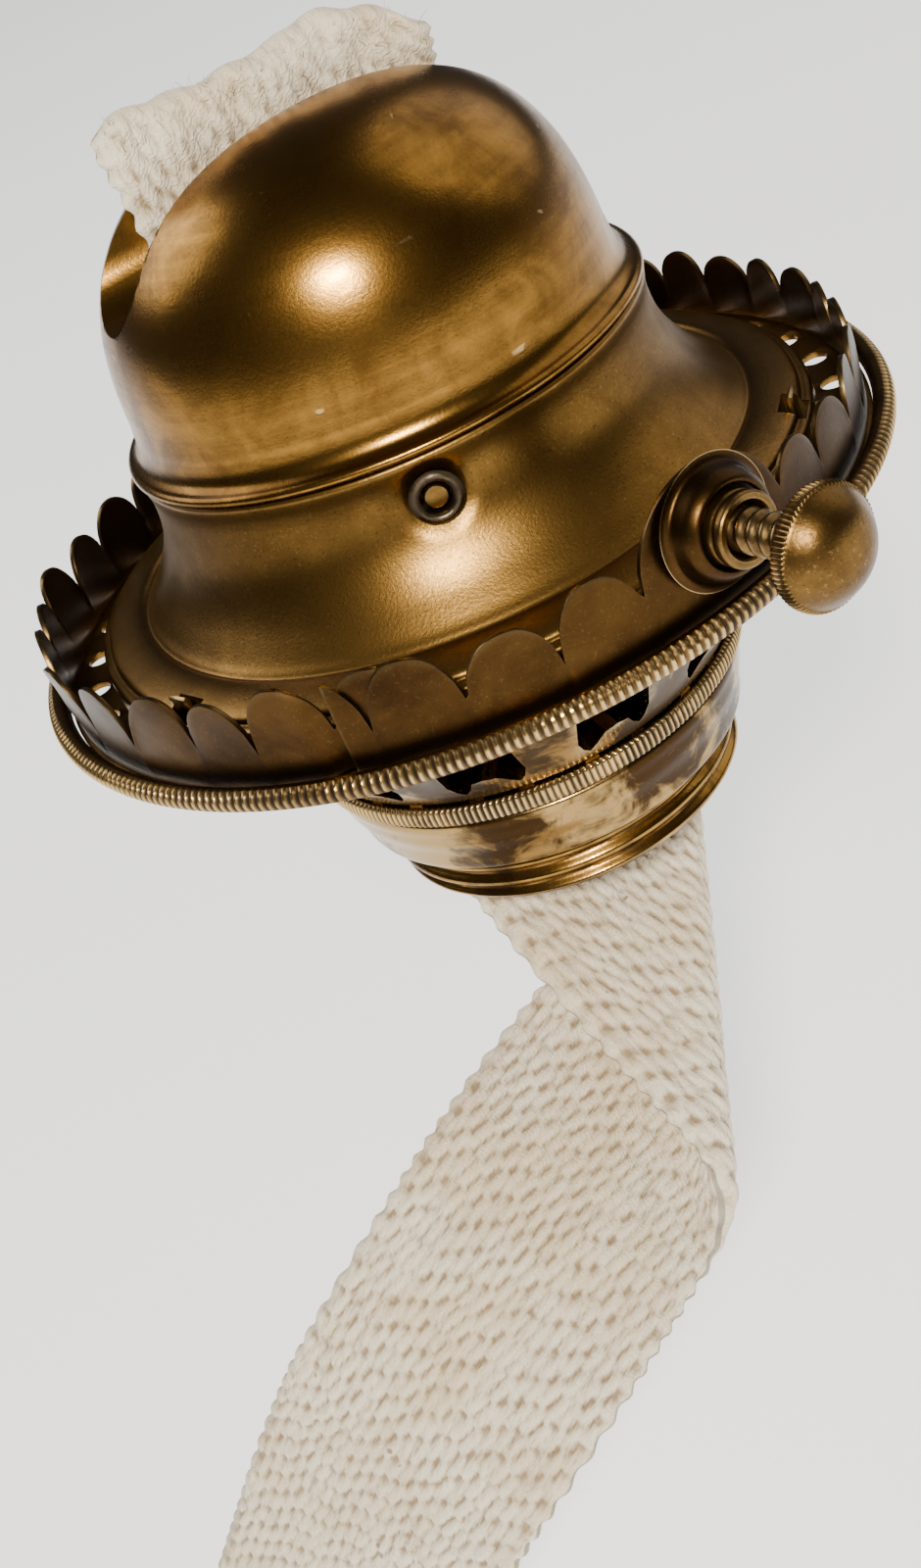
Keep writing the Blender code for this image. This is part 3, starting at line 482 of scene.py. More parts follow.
def markWearAndShade(piece, keen=1.0, reach=0.45):
    # bright wear on sharp outer edges, painted shade in tight hollows
    mesh = piece.data
    count = len(mesh.vertices)
    places = np.empty(count * 3)
    mesh.vertices.foreach_get("co", places)
    places = places.reshape(-1, 3)
    normals = np.empty(count * 3)
    mesh.vertices.foreach_get("normal", normals)
    normals = normals.reshape(-1, 3)
    edges = np.empty(len(mesh.edges) * 2, dtype=np.int64)
    mesh.edges.foreach_get("vertices", edges)
    edges = edges.reshape(-1, 2)
    bend = np.zeros(count)
    share = np.zeros(count)
    for first, second in ((0, 1), (1, 0)):
        here, there = edges[:, first], edges[:, second]
        way = places[there] - places[here]
        size = np.maximum(np.linalg.norm(way, axis=1), 1e-7)
        rise = np.einsum("ij,ij->i", way, normals[here]) / size
        np.add.at(bend, here, rise)
        np.add.at(share, here, 1.0)
    bend = bend / np.maximum(share, 1)
    for turn in range(2):
        total = bend.copy()
        number = np.ones(count)
        for first, second in ((0, 1), (1, 0)):
            np.add.at(total, edges[:, first], bend[edges[:, second]])
            np.add.at(number, edges[:, first], 1.0)
        bend = bend * 0.4 + 0.6 * total / number
    worn = np.clip(-bend * keen / reach - 0.12, 0, 1)
    # painted shade: darker where the surface curves inwards
    hollowShade = np.clip(bend * keen / reach - 0.10, 0, 1)
    for name, values in (("worn", worn), ("hollowShade", hollowShade)):
        layer = mesh.attributes.new(name, "FLOAT", "POINT")
        layer.data.foreach_set("value", values.astype(np.float32))


def finishPiece(piece, body, nodes, material, wearAndShade=1.0, smooth=38):
    # shade, mark the wear and the painted shade in hollows, and tie the piece to its body and CAD node
    only(piece)
    bpy.ops.object.shade_smooth_by_angle(angle=math.radians(smooth), keep_sharp_edges=False)
    if "worn" not in piece.data.attributes:
        markWearAndShade(piece, wearAndShade)
    piece.data.materials.clear()
    piece.data.materials.append(material)
    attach(piece, body)
    if nodes:
        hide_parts(*nodes)
    return piece


def outwardFrame(angle, height):
    # takes a piece's own Z to the outward direction at this angle
    outward = Vector((math.cos(angle), math.sin(angle), 0))
    up = Vector((0, 0, 1))
    turn = Matrix((up.cross(outward), up, outward)).transposed().to_4x4()
    return Matrix.Translation((0, 0, height)) @ turn


def settle(piece, matrix):
    piece.data.transform(matrix)
    piece.data.update()


def polar(places):
    return np.hypot(places[:, 0], places[:, 1]), np.arctan2(places[:, 1], places[:, 0])


def fromPolar(radius, angle, height):
    return np.stack((radius * np.cos(angle), radius * np.sin(angle), height), axis=1)


def step(value, low, high):
    share = np.clip((value - low) / (high - low), 0, 1)
    return share * share * (3 - 2 * share)


makeCamera()
makeStudio()
print("camera and studio made")

finishes = {name: makeBrass(name) for name in brassLooks}
finishes["greySteel"] = makeSteel()
finishes["sootedBrass"] = makeDark()
finishes["cottonYarn"] = makeCotton()
print("materials made")


# ---- collar and cup

collar = {"pitch": 1.6, "depth": 0.55, "root": 15.2, "bore": 14.4, "foot": -4.9, "seat": 16.5, "seatHeight": 0.6}


def makeCollar():
    line = straight([(collar["bore"], collar["seatHeight"]), (collar["seat"] - 0.1, collar["seatHeight"]),
                     (collar["seat"], collar["seatHeight"] - 0.1), (collar["seat"], 0.05),
                     (collar["seat"] - 0.05, 0.0), (collar["root"], -0.02)])
    rows = 44
    line += straight([(collar["root"], -0.06 - (collar["foot"] * -1 - 0.12) * k / rows) for k in range(rows + 1)])
    line += straight([(collar["root"] - 0.1, collar["foot"]), (collar["bore"] + 0.05, collar["foot"]),
                      (collar["bore"], collar["foot"] + 0.06)])
    piece = turnedPiece("collarThread", line, 160, closed=True)

    def raiseThread(places):
        radius, angle = polar(places)
        height = places[:, 2]
        outer = (radius > (collar["root"] - 0.04) * mm) & (height < -0.03 * mm)
        wave = 0.5 + 0.5 * np.cos(tau * (height / (collar["pitch"] * mm) + 0.45) - angle)
        fade = step(-height, 0.1 * mm, 0.8 * mm) * step(height, collar["foot"] * mm, (collar["foot"] + 0.7) * mm)
        radius = np.where(outer, radius + collar["depth"] * mm * wave ** 0.75 * fade, radius)
        return fromPolar(radius, angle, height)

    reshape(piece, raiseThread)
    finishPiece(piece, "burner_body", ["threaded_collar"], finishes["threadBrass"], 1.2)


def makeCup():
    line = rounded([(18.0, 5.75), (18.45, 5.55), (18.55, 5.0), (18.35, 4.2), (18.15, 3.2), (17.75, 2.1),
                    (17.5, 1.1), (17.35, 0.45), (17.2, 0.08)], 5)
    piece = turnedPiece("cupWall", line, 160)
    facing(piece)
    thicken(piece, 0.5 * mm)
    dent(piece, 0.10 * mm, 9 * mm, 1)
    finishPiece(piece, "burner_body", ["base_cup"], finishes["paleBrass"])


def milled(piece, ribs, inner, depth, low, high):
    # sink every other strip of the outer face, between two heights
    def rule(places):
        radius, angle = polar(places)
        height = places[:, 2]
        edge = step(radius, inner, inner + 0.25 * mm) * step(height, low, low + 0.3 * mm) * (1 - step(height, high - 0.3 * mm, high))
        wave = 0.5 - 0.5 * np.cos(angle * ribs)
        return fromPolar(radius - depth * wave ** 1.3 * edge, angle, height)
    reshape(piece, rule)


def markGrooves(piece, ribs, inner, low, high):
    # painted shade in the grooves of the milling and wear on its ridges
    mesh = piece.data
    count = len(mesh.vertices)
    places = np.empty(count * 3)
    mesh.vertices.foreach_get("co", places)
    places = places.reshape(-1, 3)
    radius, angle = polar(places)
    height = places[:, 2]
    edge = step(radius, inner - 0.3 * mm, inner) * step(height, low, low + 0.2 * mm) * (1 - step(height, high - 0.2 * mm, high))
    wave = 0.5 - 0.5 * np.cos(angle * ribs)
    uneven = np.array([noise.noise(Vector(p) / (3 * mm)) for p in places]) * 0.35
    for name, values in (("hollowShade", np.clip(wave ** 2 * edge * (0.95 + uneven), 0, 1)),
                         ("worn", np.clip((1 - wave) ** 2 * edge * (0.75 - uneven), 0, 1))):
        layer = mesh.attributes.new(name, "FLOAT", "POINT")
        layer.data.foreach_set("value", values.astype(np.float32))


cupBead = {"ribs": 229, "radius": 19.35, "low": 5.9, "high": 7.9, "inside": 17.6}


def makeCupBead():
    low, high, radius = cupBead["low"], cupBead["high"], cupBead["radius"]
    middle = (low + high) / 2
    line = rounded([(18.3, high - 0.05), (18.9, high - 0.1), (19.25, high - 0.35), (radius, middle),
                    (19.25, low + 0.35), (18.9, low + 0.1), (18.3, low + 0.05)], 3)
    line += straight([(cupBead["inside"], low), (cupBead["inside"], high)])
    piece = turnedPiece("cupBead", line, cupBead["ribs"] * 4, closed=True)
    milled(piece, cupBead["ribs"], 18.7 * mm, 0.17 * mm, low * mm, high * mm)
    markGrooves(piece, cupBead["ribs"], 19.0 * mm, low * mm, high * mm)
    finishPiece(piece, "burner_body", ["lower_milled_bead"], finishes["paleBrass"])


basket = {
    "low": 8.2, "high": 21.1, "foot": 18.9, "top": 26.6, "flange": 29.7, "openings": 12, "phase": 27.0,
    "half": 3.2, "sill": 10.6, "notch": 9.1, "crest": 11.3, "openTop": 20.1,
}


def makeBasket():
    points = [(basket["flange"], basket["high"] - 0.02), (basket["top"] + 0.6, basket["high"] - 0.1),
              (basket["top"] + 0.05, basket["high"] - 0.5)]
    rows = 22
    points += [(basket["top"] + (basket["foot"] - basket["top"]) * k / rows,
                basket["high"] - 0.8 + (basket["low"] + 0.8 - basket["high"]) * k / rows) for k in range(1, rows + 1)]
    piece = turnedPiece("airBasket", straight(points), 240)
    facing(piece)
    half = basket["half"]
    outline = [(-half + 0.3, basket["openTop"]), (-half, basket["openTop"] - 0.4), (-half, basket["sill"]),
               (-half * 0.86, basket["notch"] + 0.5), (-half * 0.69, basket["notch"]), (-half * 0.5, basket["notch"] + 0.6),
               (-half * 0.3, basket["crest"] - 0.35), (0.0, basket["crest"]), (half * 0.3, basket["crest"] - 0.35),
               (half * 0.5, basket["notch"] + 0.6), (half * 0.69, basket["notch"]), (half * 0.86, basket["notch"] + 0.5),
               (half, basket["sill"]), (half, basket["openTop"] - 0.4), (half - 0.3, basket["openTop"])]
    tools = []
    for k in range(basket["openings"]):
        tool = plateFrom("opening%d" % k, [(x * mm, z * mm) for x, z in outline], 14 * mm, 30 * mm)
        settle(tool, outwardFrame(math.radians(basket["phase"] + 360 / basket["openings"] * k), 0))
        tools.append(tool)
    hole = plateFrom("bearingHole", [(1.9 * mm * math.cos(tau * k / 32), 1.9 * mm * math.sin(tau * k / 32)) for k in range(32)],
                     18 * mm, 30 * mm)
    settle(hole, Matrix.Translation((0, shaft["back"] * mm, 0)) @ outwardFrame(0, shaft["height"] * mm))
    tools.append(hole)
    cutAway(piece, joined(tools))
    thicken(piece, 0.45 * mm)

    def curl(places):
        # the leaves between the notches lean out, the posts are pressed in a little
        radius, angle = polar(places)
        height = places[:, 2]
        turn = (np.degrees(angle) - basket["phase"] + 15) % 30 - 15
        leaf = np.exp(-(turn / 4.5) ** 2) * step(height, 9.2 * mm, 11.3 * mm) * (1 - step(height, 12 * mm, 13 * mm))
        post = np.exp(-((np.abs(turn) - 15) / 4.0) ** 2) * step(height, 9.0 * mm, 12 * mm) * (1 - step(height, 17 * mm, 20 * mm))
        return fromPolar(radius + leaf * 0.55 * mm - post * 0.25 * mm, angle, height)

    reshape(piece, curl)
    finishPiece(piece, "burner_body", ["air_basket"], finishes["paleBrass"], 0.9, 30)


def plateFrom(name, outline, low, high):
    # a flat outline made into a block between two heights
    bare()
    bpy.ops.mesh.primitive_circle_add(vertices=len(outline), radius=mm, fill_type="NGON", location=(0, 0, 0))
    piece = bpy.context.object
    piece.name = name
    for v, (x, y) in zip(piece.data.vertices, outline):
        v.co = (x, y, low)
    bpy.ops.object.mode_set(mode="EDIT")
    bpy.ops.mesh.select_all(action="SELECT")
    bpy.ops.mesh.extrude_region_move(TRANSFORM_OT_translate={"value": (0, 0, high - low)})
    bpy.ops.mesh.select_all(action="SELECT")
    bpy.ops.mesh.normals_make_consistent(inside=False)
    bpy.ops.object.mode_set(mode="OBJECT")
    return piece


def joined(pieces):
    bare()
    for piece in pieces:
        piece.select_set(True)
    bpy.context.view_layer.objects.active = pieces[0]
    bpy.ops.object.join()
    return bpy.context.object


# ---- gallery

gallery = {
    "deckLow": 21.4, "deckTop": 21.9, "deckOuter": 34.15, "deckInner": 27.3, "holes": 36, "holeRadius": 1.1,
    "holeCircle": 31.8, "rimCentre": 35.1, "rimHeight": 22.3, "rimBead": 0.88, "ribs": 330,
}


def makeDeck():
    g = gallery
    line = straight([(g["deckInner"], g["deckTop"]), (g["deckOuter"], g["deckTop"]), (g["deckOuter"], g["deckLow"]),
                     (g["deckInner"], g["deckLow"])])
    piece = turnedPiece("galleryDeck", line, 180, closed=True)
    tools = []
    for k in range(g["holes"]):
        turn = math.radians(280 + 360 * (k + 0.5) / g["holes"])
        bare()
        bpy.ops.mesh.primitive_cylinder_add(vertices=24, radius=g["holeRadius"] * mm, depth=3 * mm, location=(
            g["holeCircle"] * mm * math.cos(turn), g["holeCircle"] * mm * math.sin(turn), g["deckLow"] * mm))
        bpy.ops.object.transform_apply(location=True, rotation=False, scale=False)
        tools.append(bpy.context.object)
    cutAway(piece, joined(tools))
    easeEdges(piece, 0.08 * mm, 2, 50)
    finishPiece(piece, "burner_body", ["gallery_deck"], finishes["agedBrass"], 1.0, 30)


def makeRim():
    g = gallery
    line = []
    for k in range(18):
        turn = tau * k / 18
        line.append(((g["rimCentre"] + g["rimBead"] * math.cos(turn)) * mm, (g["rimHeight"] + g["rimBead"] * math.sin(turn)) * mm))
    piece = turnedPiece("galleryRim", line, g["ribs"] * 4, closed=True)

    def mill(places):
        radius, angle = polar(places)
        height = places[:, 2]
        outX = radius / mm - g["rimCentre"]
        outZ = height / mm - g["rimHeight"]
        turn = np.degrees(np.arctan2(outZ, outX))
        edge = step(turn, -62, -48) * (1 - step(turn, 62, 80))
        wave = 0.5 - 0.5 * np.cos(angle * g["ribs"] + 0.9 * np.sin(angle * 3.0))
        depth = 0.24 * wave ** 1.4 * edge
        return fromPolar(radius - depth * mm * np.cos(np.radians(turn)), angle, height - depth * mm * np.sin(np.radians(turn)))

    reshape(piece, mill)
    mesh = piece.data
    count = len(mesh.vertices)
    places = np.empty(count * 3)
    mesh.vertices.foreach_get("co", places)
    places = places.reshape(-1, 3)
    radius, angle = polar(places)
    turn = np.degrees(np.arctan2(places[:, 2] / mm - g["rimHeight"], radius / mm - g["rimCentre"]))
    edge = step(turn, -62, -48) * (1 - step(turn, 62, 80))
    wave = 0.5 - 0.5 * np.cos(angle * g["ribs"] + 0.9 * np.sin(angle * 3.0))
    uneven = 0.25 * np.sin(angle * 5 + 1.0) + 0.15 * np.sin(angle * 13)
    # painted shade in the grooves of the milling and wear on its ridges
    for name, values in (("hollowShade", np.clip(wave ** 1.6 * edge * (1.0 + uneven), 0, 1)),
                         ("worn", np.clip((1 - wave) ** 2 * edge * (0.8 - uneven), 0, 1))):
        layer = mesh.attributes.new(name, "FLOAT", "POINT")
        layer.data.foreach_set("value", values.astype(np.float32))
    finishPiece(piece, "burner_body", ["gallery_rim"], finishes["galleryBrass"])


coronet = {
    "radius": 33.8, "wall": 0.38, "low": 22.2, "band": 24.6, "lobes": 36, "lobeHeight": 4.1, "stretch": 0.16,
    "wideSide": math.radians(215), "screwAngle": math.radians(280), "screwHeight": 28.4, "bigLobe": 6.5,
    "bigCentre": 26.2, "perLobe": 22, "rows": 9, "jointAngle": math.radians(231), "overlap": math.radians(7.0),
}


def drawnPhase(angle):
    c = coronet
    drawn = angle - c["stretch"] * (np.sin(angle - c["wideSide"]) - math.sin(c["screwAngle"] - c["wideSide"]))
    return (drawn - c["screwAngle"]) / tau * c["lobes"]


def lobeTop(angle, shift=0.0):
    c = coronet
    phase = drawnPhase(angle) + shift
    across = 2 * (phase % 1.0) - 1
    number = np.floor(phase)
    high = c["lobeHeight"] * (1 + 1.6 * c["stretch"] * np.cos(angle - c["wideSide"]))
    high = high * (1 + 0.05 * np.sin(number * 2.7) + 0.04 * np.sin(number * 5.1 + 1))
    round_ = np.sqrt(np.maximum(1 - np.abs(across) ** 2.25, 0.0))
    notch = 0.55 * np.exp(-((1 - np.abs(across)) / 0.045) ** 2)
    lobe = c["band"] + high * round_ - notch
    turn = (angle - c["screwAngle"] + math.pi) % tau - math.pi
    side = np.abs(turn * c["radius"])
    big = c["bigCentre"] + np.sqrt(np.maximum(c["bigLobe"] ** 2 - side ** 2, 0.0))
    return np.where(side < c["bigLobe"], np.maximum(lobe, big), lobe), number, across


def makeCoronet():
    c = coronet
    columns = c["lobes"] * c["perLobe"]
    bare()
    bpy.ops.mesh.primitive_grid_add(x_subdivisions=columns, y_subdivisions=c["rows"], size=1, location=(0, 0, 0))
    piece = bpy.context.object
    piece.name = "coronetStrip"

    def rule(places):
        share = places[:, 0] + 0.5
        rise = places[:, 1] + 0.5
        angle = c["jointAngle"] + share * (tau + c["overlap"])
        whole = 1 - c["overlap"] / (tau + c["overlap"])
        shift = 0.38 * step(share, whole - 0.07, whole - 0.004)
        top, number, across = lobeTop(angle, shift)
        past = step(share, whole - 0.012, whole - 0.001)
        lean = np.sin(number * 1.9 + 0.6) * 0.35 + np.sin(number * 4.3) * 0.2
        away = np.exp(-((((angle - c["screwAngle"] + math.pi) % tau) - math.pi) / 0.20) ** 2)
        lean = lean * (1 - away) * rise ** 2 * np.clip(1 - across ** 4, 0, 1)
        twist = across * np.sin(number * 3.1 + 2) * 0.22 * rise * (1 - away)
        radius = (c["radius"] + lean * (1 - past) + twist * (1 - past) - past * 0.62) * mm
        height = (c["low"] + rise * (top - c["low"])) * mm
        return fromPolar(radius, angle, height)

    reshape(piece, rule)
    only(piece)
    facing(piece)
    thicken(piece, c["wall"] * mm)
    tool = plateFrom("screwHole", [(2.9 * mm * math.cos(tau * k / 40), 2.9 * mm * math.sin(tau * k / 40)) for k in range(40)],
                     30 * mm, 38 * mm)
    settle(tool, outwardFrame(c["screwAngle"], c["screwHeight"] * mm))
    cutAway(piece, tool)
    easeEdges(piece, 0.09 * mm, 2, 50)
    finishPiece(piece, "burner_body", ["coronet"], finishes["lobeBrass"], 1.3, 40)


# ---- thumbscrew

thumb = {
    "bossStart": 34.2, "bossFoot": 4.75, "bore": 2.9, "bushing": 2.6, "bushingEnd": 37.6, "flangeBack": 32.2,
    "stem": 1.6, "stemStart": 32.2, "stemEnd": 45.8, "pitch": 1.1, "headStart": 43.6, "head": 4.2, "crown": 2.6,
    "padStart": 30.7, "padEnd": 31.9, "pad": 1.9, "rimRibs": 76,
}


def screwPlace():
    return outwardFrame(coronet["screwAngle"], coronet["screwHeight"] * mm)


def makeBoss():
    s = thumb["bossStart"]
    line = rounded([(thumb["bore"], s + 1.55), (thumb["bore"] + 0.02, s + 2.0), (3.1, s + 2.1), (3.4, s + 1.95),
                    (3.75, s + 1.45), (3.95, s + 0.75), (4.1, s + 0.3), (4.4, s + 0.1), (thumb["bossFoot"], s + 0.05)], 5)
    line += straight([(thumb["bossFoot"] - 0.05, s), (4.1, s)])
    line += rounded([(3.85, s + 0.25), (3.65, s + 0.75), (3.4, s + 1.25), (3.15, s + 1.5)], 3)
    piece = turnedPiece("screwBoss", line, 72, closed=True)
    settle(piece, screwPlace())
    finishPiece(piece, "burner_body", ["screw_boss"], finishes["lobeBrass"], 1.2)


def makeBushing():
    end = thumb["bushingEnd"]
    back = thumb["flangeBack"]
    outer = thumb["bushing"]
    line = straight([(1.9, end - 0.25), (2.05, end - 0.03), (2.25, end)])
    line += rounded([(2.45, end), (outer, end - 0.18), (outer, end - 0.7), (outer - 0.12, end - 0.9), (outer - 0.02, end - 1.1)], 3)
    line += straight([(outer, back + 0.5), (outer + 0.7, back + 0.5), (outer + 0.8, back + 0.4), (outer + 0.8, back), (1.9, back)])
    piece = turnedPiece("screwBushing", line, 64, closed=True)
    settle(piece, screwPlace())
    finishPiece(piece, "burner_body", ["screw_bushing"], finishes["knobBrass"], 1.2)


def makeThumbscrew():
    rows = 96
    start, end = thumb["stemStart"], thumb["stemEnd"]
    line = straight([(0.0, start), (0.9, start + 0.02), (1.3, start + 0.25)])
    line += straight([(thumb["stem"] - 0.02, start + 0.5 + (end - start - 0.6) * k / rows) for k in range(rows + 1)])
    line += straight([(1.2, end - 0.02), (0.0, end)])
    stem = turnedPiece("thumbscrewStem", line, 40)

    def cutThread(places):
        radius, angle = polar(places)
        height = places[:, 2]
        outer = radius > 1.4 * mm
        wave = 0.5 + 0.5 * np.cos(tau * height / (thumb["pitch"] * mm) - angle)
        fade = 1 - step(height, (thumb["headStart"] - 0.6) * mm, thumb["headStart"] * mm)
        return fromPolar(np.where(outer, radius - 0.30 * mm * (1 - wave ** 0.8) * fade, radius), angle, height)

    reshape(stem, cutThread)
    settle(stem, screwPlace())
    finishPiece(stem, "thumbscrew", ["thumbscrew_stem"], finishes["screwBrass"], 1.4)

    h = thumb["headStart"]
    r = thumb["head"]
    line = rounded([(0.0, h + 3.3), (0.9, h + 3.25), (1.9, h + 2.98), (2.8, h + 2.45), (3.4, h + 1.85), (3.75, h + 1.4)], 4)
    line += rounded([(3.85, h + 1.25), (4.08, h + 1.1), (r, h + 0.8), (r, h + 0.4), (4.08, h + 0.1), (3.8, h)], 3)
    line += rounded([(3.0, h + 0.12), (2.3, h + 0.02), (1.95, h - 0.1)], 2)
    line += straight([(1.9, h), (1.9, h + 2.5), (0.0, h + 2.5)])
    head = turnedPiece("thumbscrewHead", line, thumb["rimRibs"] * 4)

    def millHead(places):
        radius, angle = polar(places)
        height = places[:, 2]
        edge = step(radius, 3.85 * mm, 4.1 * mm)
        wave = 0.5 - 0.5 * np.cos(angle * thumb["rimRibs"])
        return fromPolar(radius - 0.16 * mm * wave * edge, angle, height)

    reshape(head, millHead)
    markWearAndShade(head, 1.5)
    settle(head, screwPlace())
    finishPiece(head, "thumbscrew", ["thumbscrew_head"], finishes["knobBrass"])

    line = straight([(0.0, thumb["padEnd"]), (1.6, thumb["padEnd"]), (1.85, thumb["padEnd"] - 0.15), (thumb["pad"], thumb["padEnd"] - 0.4),
                     (thumb["pad"], thumb["padStart"] + 0.4), (1.7, thumb["padStart"] + 0.1), (1.2, thumb["padStart"]), (0.0, thumb["padStart"])])
    pad = turnedPiece("screwPad", line, 40)
    settle(pad, screwPlace())
    finishPiece(pad, "screw_slide", ["screw_pad"], finishes["agedBrass"])


# ---- cone

cone = {"rivets": (251.8, 71.8), "rivetHeight": 33.9, "slotHalf": 4.2, "slotBottom": 48.6, "catches": 3, "catchAngle": 319.0}


def makeSkirt():
    line = rounded([(20.5, 37.1), (20.8, 37.05), (20.95, 36.8), (20.9, 36.4), (20.75, 35.7), (20.68, 34.8), (20.74, 33.6),
                    (20.92, 32.4), (21.25, 31.3), (21.75, 30.2), (22.4, 29.1), (23.15, 28.05), (24.0, 27.05),
                    (24.75, 26.2), (25.2, 25.78), (25.48, 25.5), (25.72, 25.52), (26.1, 25.75), (27.0, 25.68),
                    (28.1, 25.4), (28.95, 25.08), (29.28, 24.8), (29.38, 24.5), (29.75, 24.42), (30.1, 24.22),
                    (30.2, 23.8), (30.2, 23.2), (30.2, 22.3)], 3)
    piece = turnedPiece("coneSkirt", line, 240)
    facing(piece)
    tools = []
    for k in range(cone["catches"]):
        tool = plateFrom("catchSlot%d" % k, [(28.0 * mm, -1.5 * mm), (29.9 * mm, -1.5 * mm), (29.9 * mm, 1.5 * mm), (28.0 * mm, 1.5 * mm)],
                         22.6 * mm, 28 * mm)
        settle(tool, Matrix.Rotation(math.radians(cone["catchAngle"] + 120 * k), 4, "Z"))
        tools.append(tool)
    for turn in cone["rivets"]:
        tool = plateFrom("eyeletHole", [(1.8 * mm * math.cos(tau * k / 40), 1.8 * mm * math.sin(tau * k / 40)) for k in range(40)],
                         18 * mm, 25 * mm)
        settle(tool, outwardFrame(math.radians(turn), cone["rivetHeight"] * mm))
        tools.append(tool)
    cutAway(piece, joined(tools))
    thicken(piece, 0.5 * mm)

    def press(places):
        # the sheet sinks round each rivet
        radius, angle = polar(places)
        height = places[:, 2]
        for turn in cone["rivets"]:
            side = ((angle - math.radians(turn) + math.pi) % tau - math.pi) * radius
            off = np.hypot(side, height - cone["rivetHeight"] * mm)
            radius = radius - 0.42 * mm * (1 - step(off, 1.7 * mm, 3.0 * mm))
        return fromPolar(radius, angle, height)

    reshape(piece, press)
    dent(piece, 0.16 * mm, 11 * mm, 2)
    finishPiece(piece, "cone", ["cone_skirt"], finishes["satinBrass"])


def makeDome():
    line = []
    for k in range(40):
        turn = math.radians(90 * (1 - k / 40))
        line.append((19.5 * mm * math.cos(turn) ** 0.83 if k else 0.0, (37.7 + 20.2 * math.sin(turn) ** 0.71) * mm))
    line = [p for p in line if p[1] > 41.0 * mm]
    line += rounded([(19.55, 40.4), (19.62, 39.6), (19.78, 38.9), (20.08, 38.35), (20.5, 38.05), (20.85, 37.95), (21.08, 37.75),
                     (21.14, 37.5), (21.05, 37.3), (20.7, 37.22)], 4)
    piece = turnedPiece("dome", line, 200)
    facing(piece)
    half, low = cone["slotHalf"], cone["slotBottom"]
    outline = [(half * math.cos(math.pi * k / 20), low + half - half * math.sin(math.pi * k / 20)) for k in range(21)]
    outline += [(-half, 80.0), (half, 80.0)]
    tool = plateFrom("slotTool", [(x * mm, z * mm) for x, z in outline], -40 * mm, 40 * mm)
    settle(tool, Matrix(((0, 0, 1, 0), (1, 0, 0, 0), (0, 1, 0, 0), (0, 0, 0, 1))))
    cutAway(piece, tool)
    thicken(piece, 0.5 * mm)
    easeEdges(piece, 0.12 * mm, 2, 55)
    dent(piece, 0.15 * mm, 12 * mm, 3)
    finishPiece(piece, "cone", ["dome"], finishes["domeBrass"])


def makeRivets():
    face = 20.8
    for name, turn in zip(("front", "rear"), cone["rivets"]):
        place = outwardFrame(math.radians(turn), cone["rivetHeight"] * mm)
        line = rounded([(1.2, face + 0.35), (1.35, face + 0.55), (1.6, face + 0.62), (1.85, face + 0.5), (1.98, face + 0.28), (1.9, face + 0.2)], 4)
        line += straight([(1.5, face + 0.2), (1.5, face - 1.6), (1.2, face - 1.6)])
        eyelet = turnedPiece(name + "Eyelet", line, 56, closed=True)
        settle(eyelet, place)
        finishPiece(eyelet, "cone", [name + "_eyelet"], finishes["greySteel"], 1.2)
        back = face - 2.6
        line = straight([(0.0, face + 0.26), (0.55, face + 0.25), (0.8, face + 0.18), (0.9, face + 0.02), (0.9, back + 0.4),
                         (1.6, back + 0.4), (1.7, back + 0.3), (1.7, back), (0.0, back)])
        rod = turnedPiece(name + "Rivet", line, 56)
        settle(rod, place)
        finishPiece(rod, "cone", [name + "_rivet"], finishes["agedBrass"], 1.2)


def makeCatches():
    for k in range(cone["catches"]):
        line = [(27.9, 22.25), (29.2, 22.25), (29.2, 25.6), (29.35, 26.0), (29.05, 26.25), (28.75, 25.9), (28.7, 25.4),
                (28.7, 22.8), (27.9, 22.8)]
        piece = plateFrom("catch%d" % (k + 1), [(x * mm, z * mm) for x, z in line], -1.0 * mm, 1.0 * mm)
        settle(piece, Matrix.Rotation(math.radians(cone["catchAngle"] + 120 * k), 4, "Z") @ Matrix.Rotation(math.pi / 2, 4, "X"))
        easeEdges(piece, 0.10 * mm, 2, 40)
        finishPiece(piece, "burner_body", ["catch_%d" % (k + 1)], finishes["agedBrass"], 1.2)


# ---- raiser

shaft = {"back": 4.95, "height": 14.4, "radius": 1.0, "start": -12.6, "knobStart": 28.5, "knob": 4.6, "knobRibs": 60}


def alongShaft():
    return Matrix(((0, 0, 1, 0), (1, 0, 0, shaft["back"] * mm), (0, 1, 0, shaft["height"] * mm), (0, 0, 0, 1)))


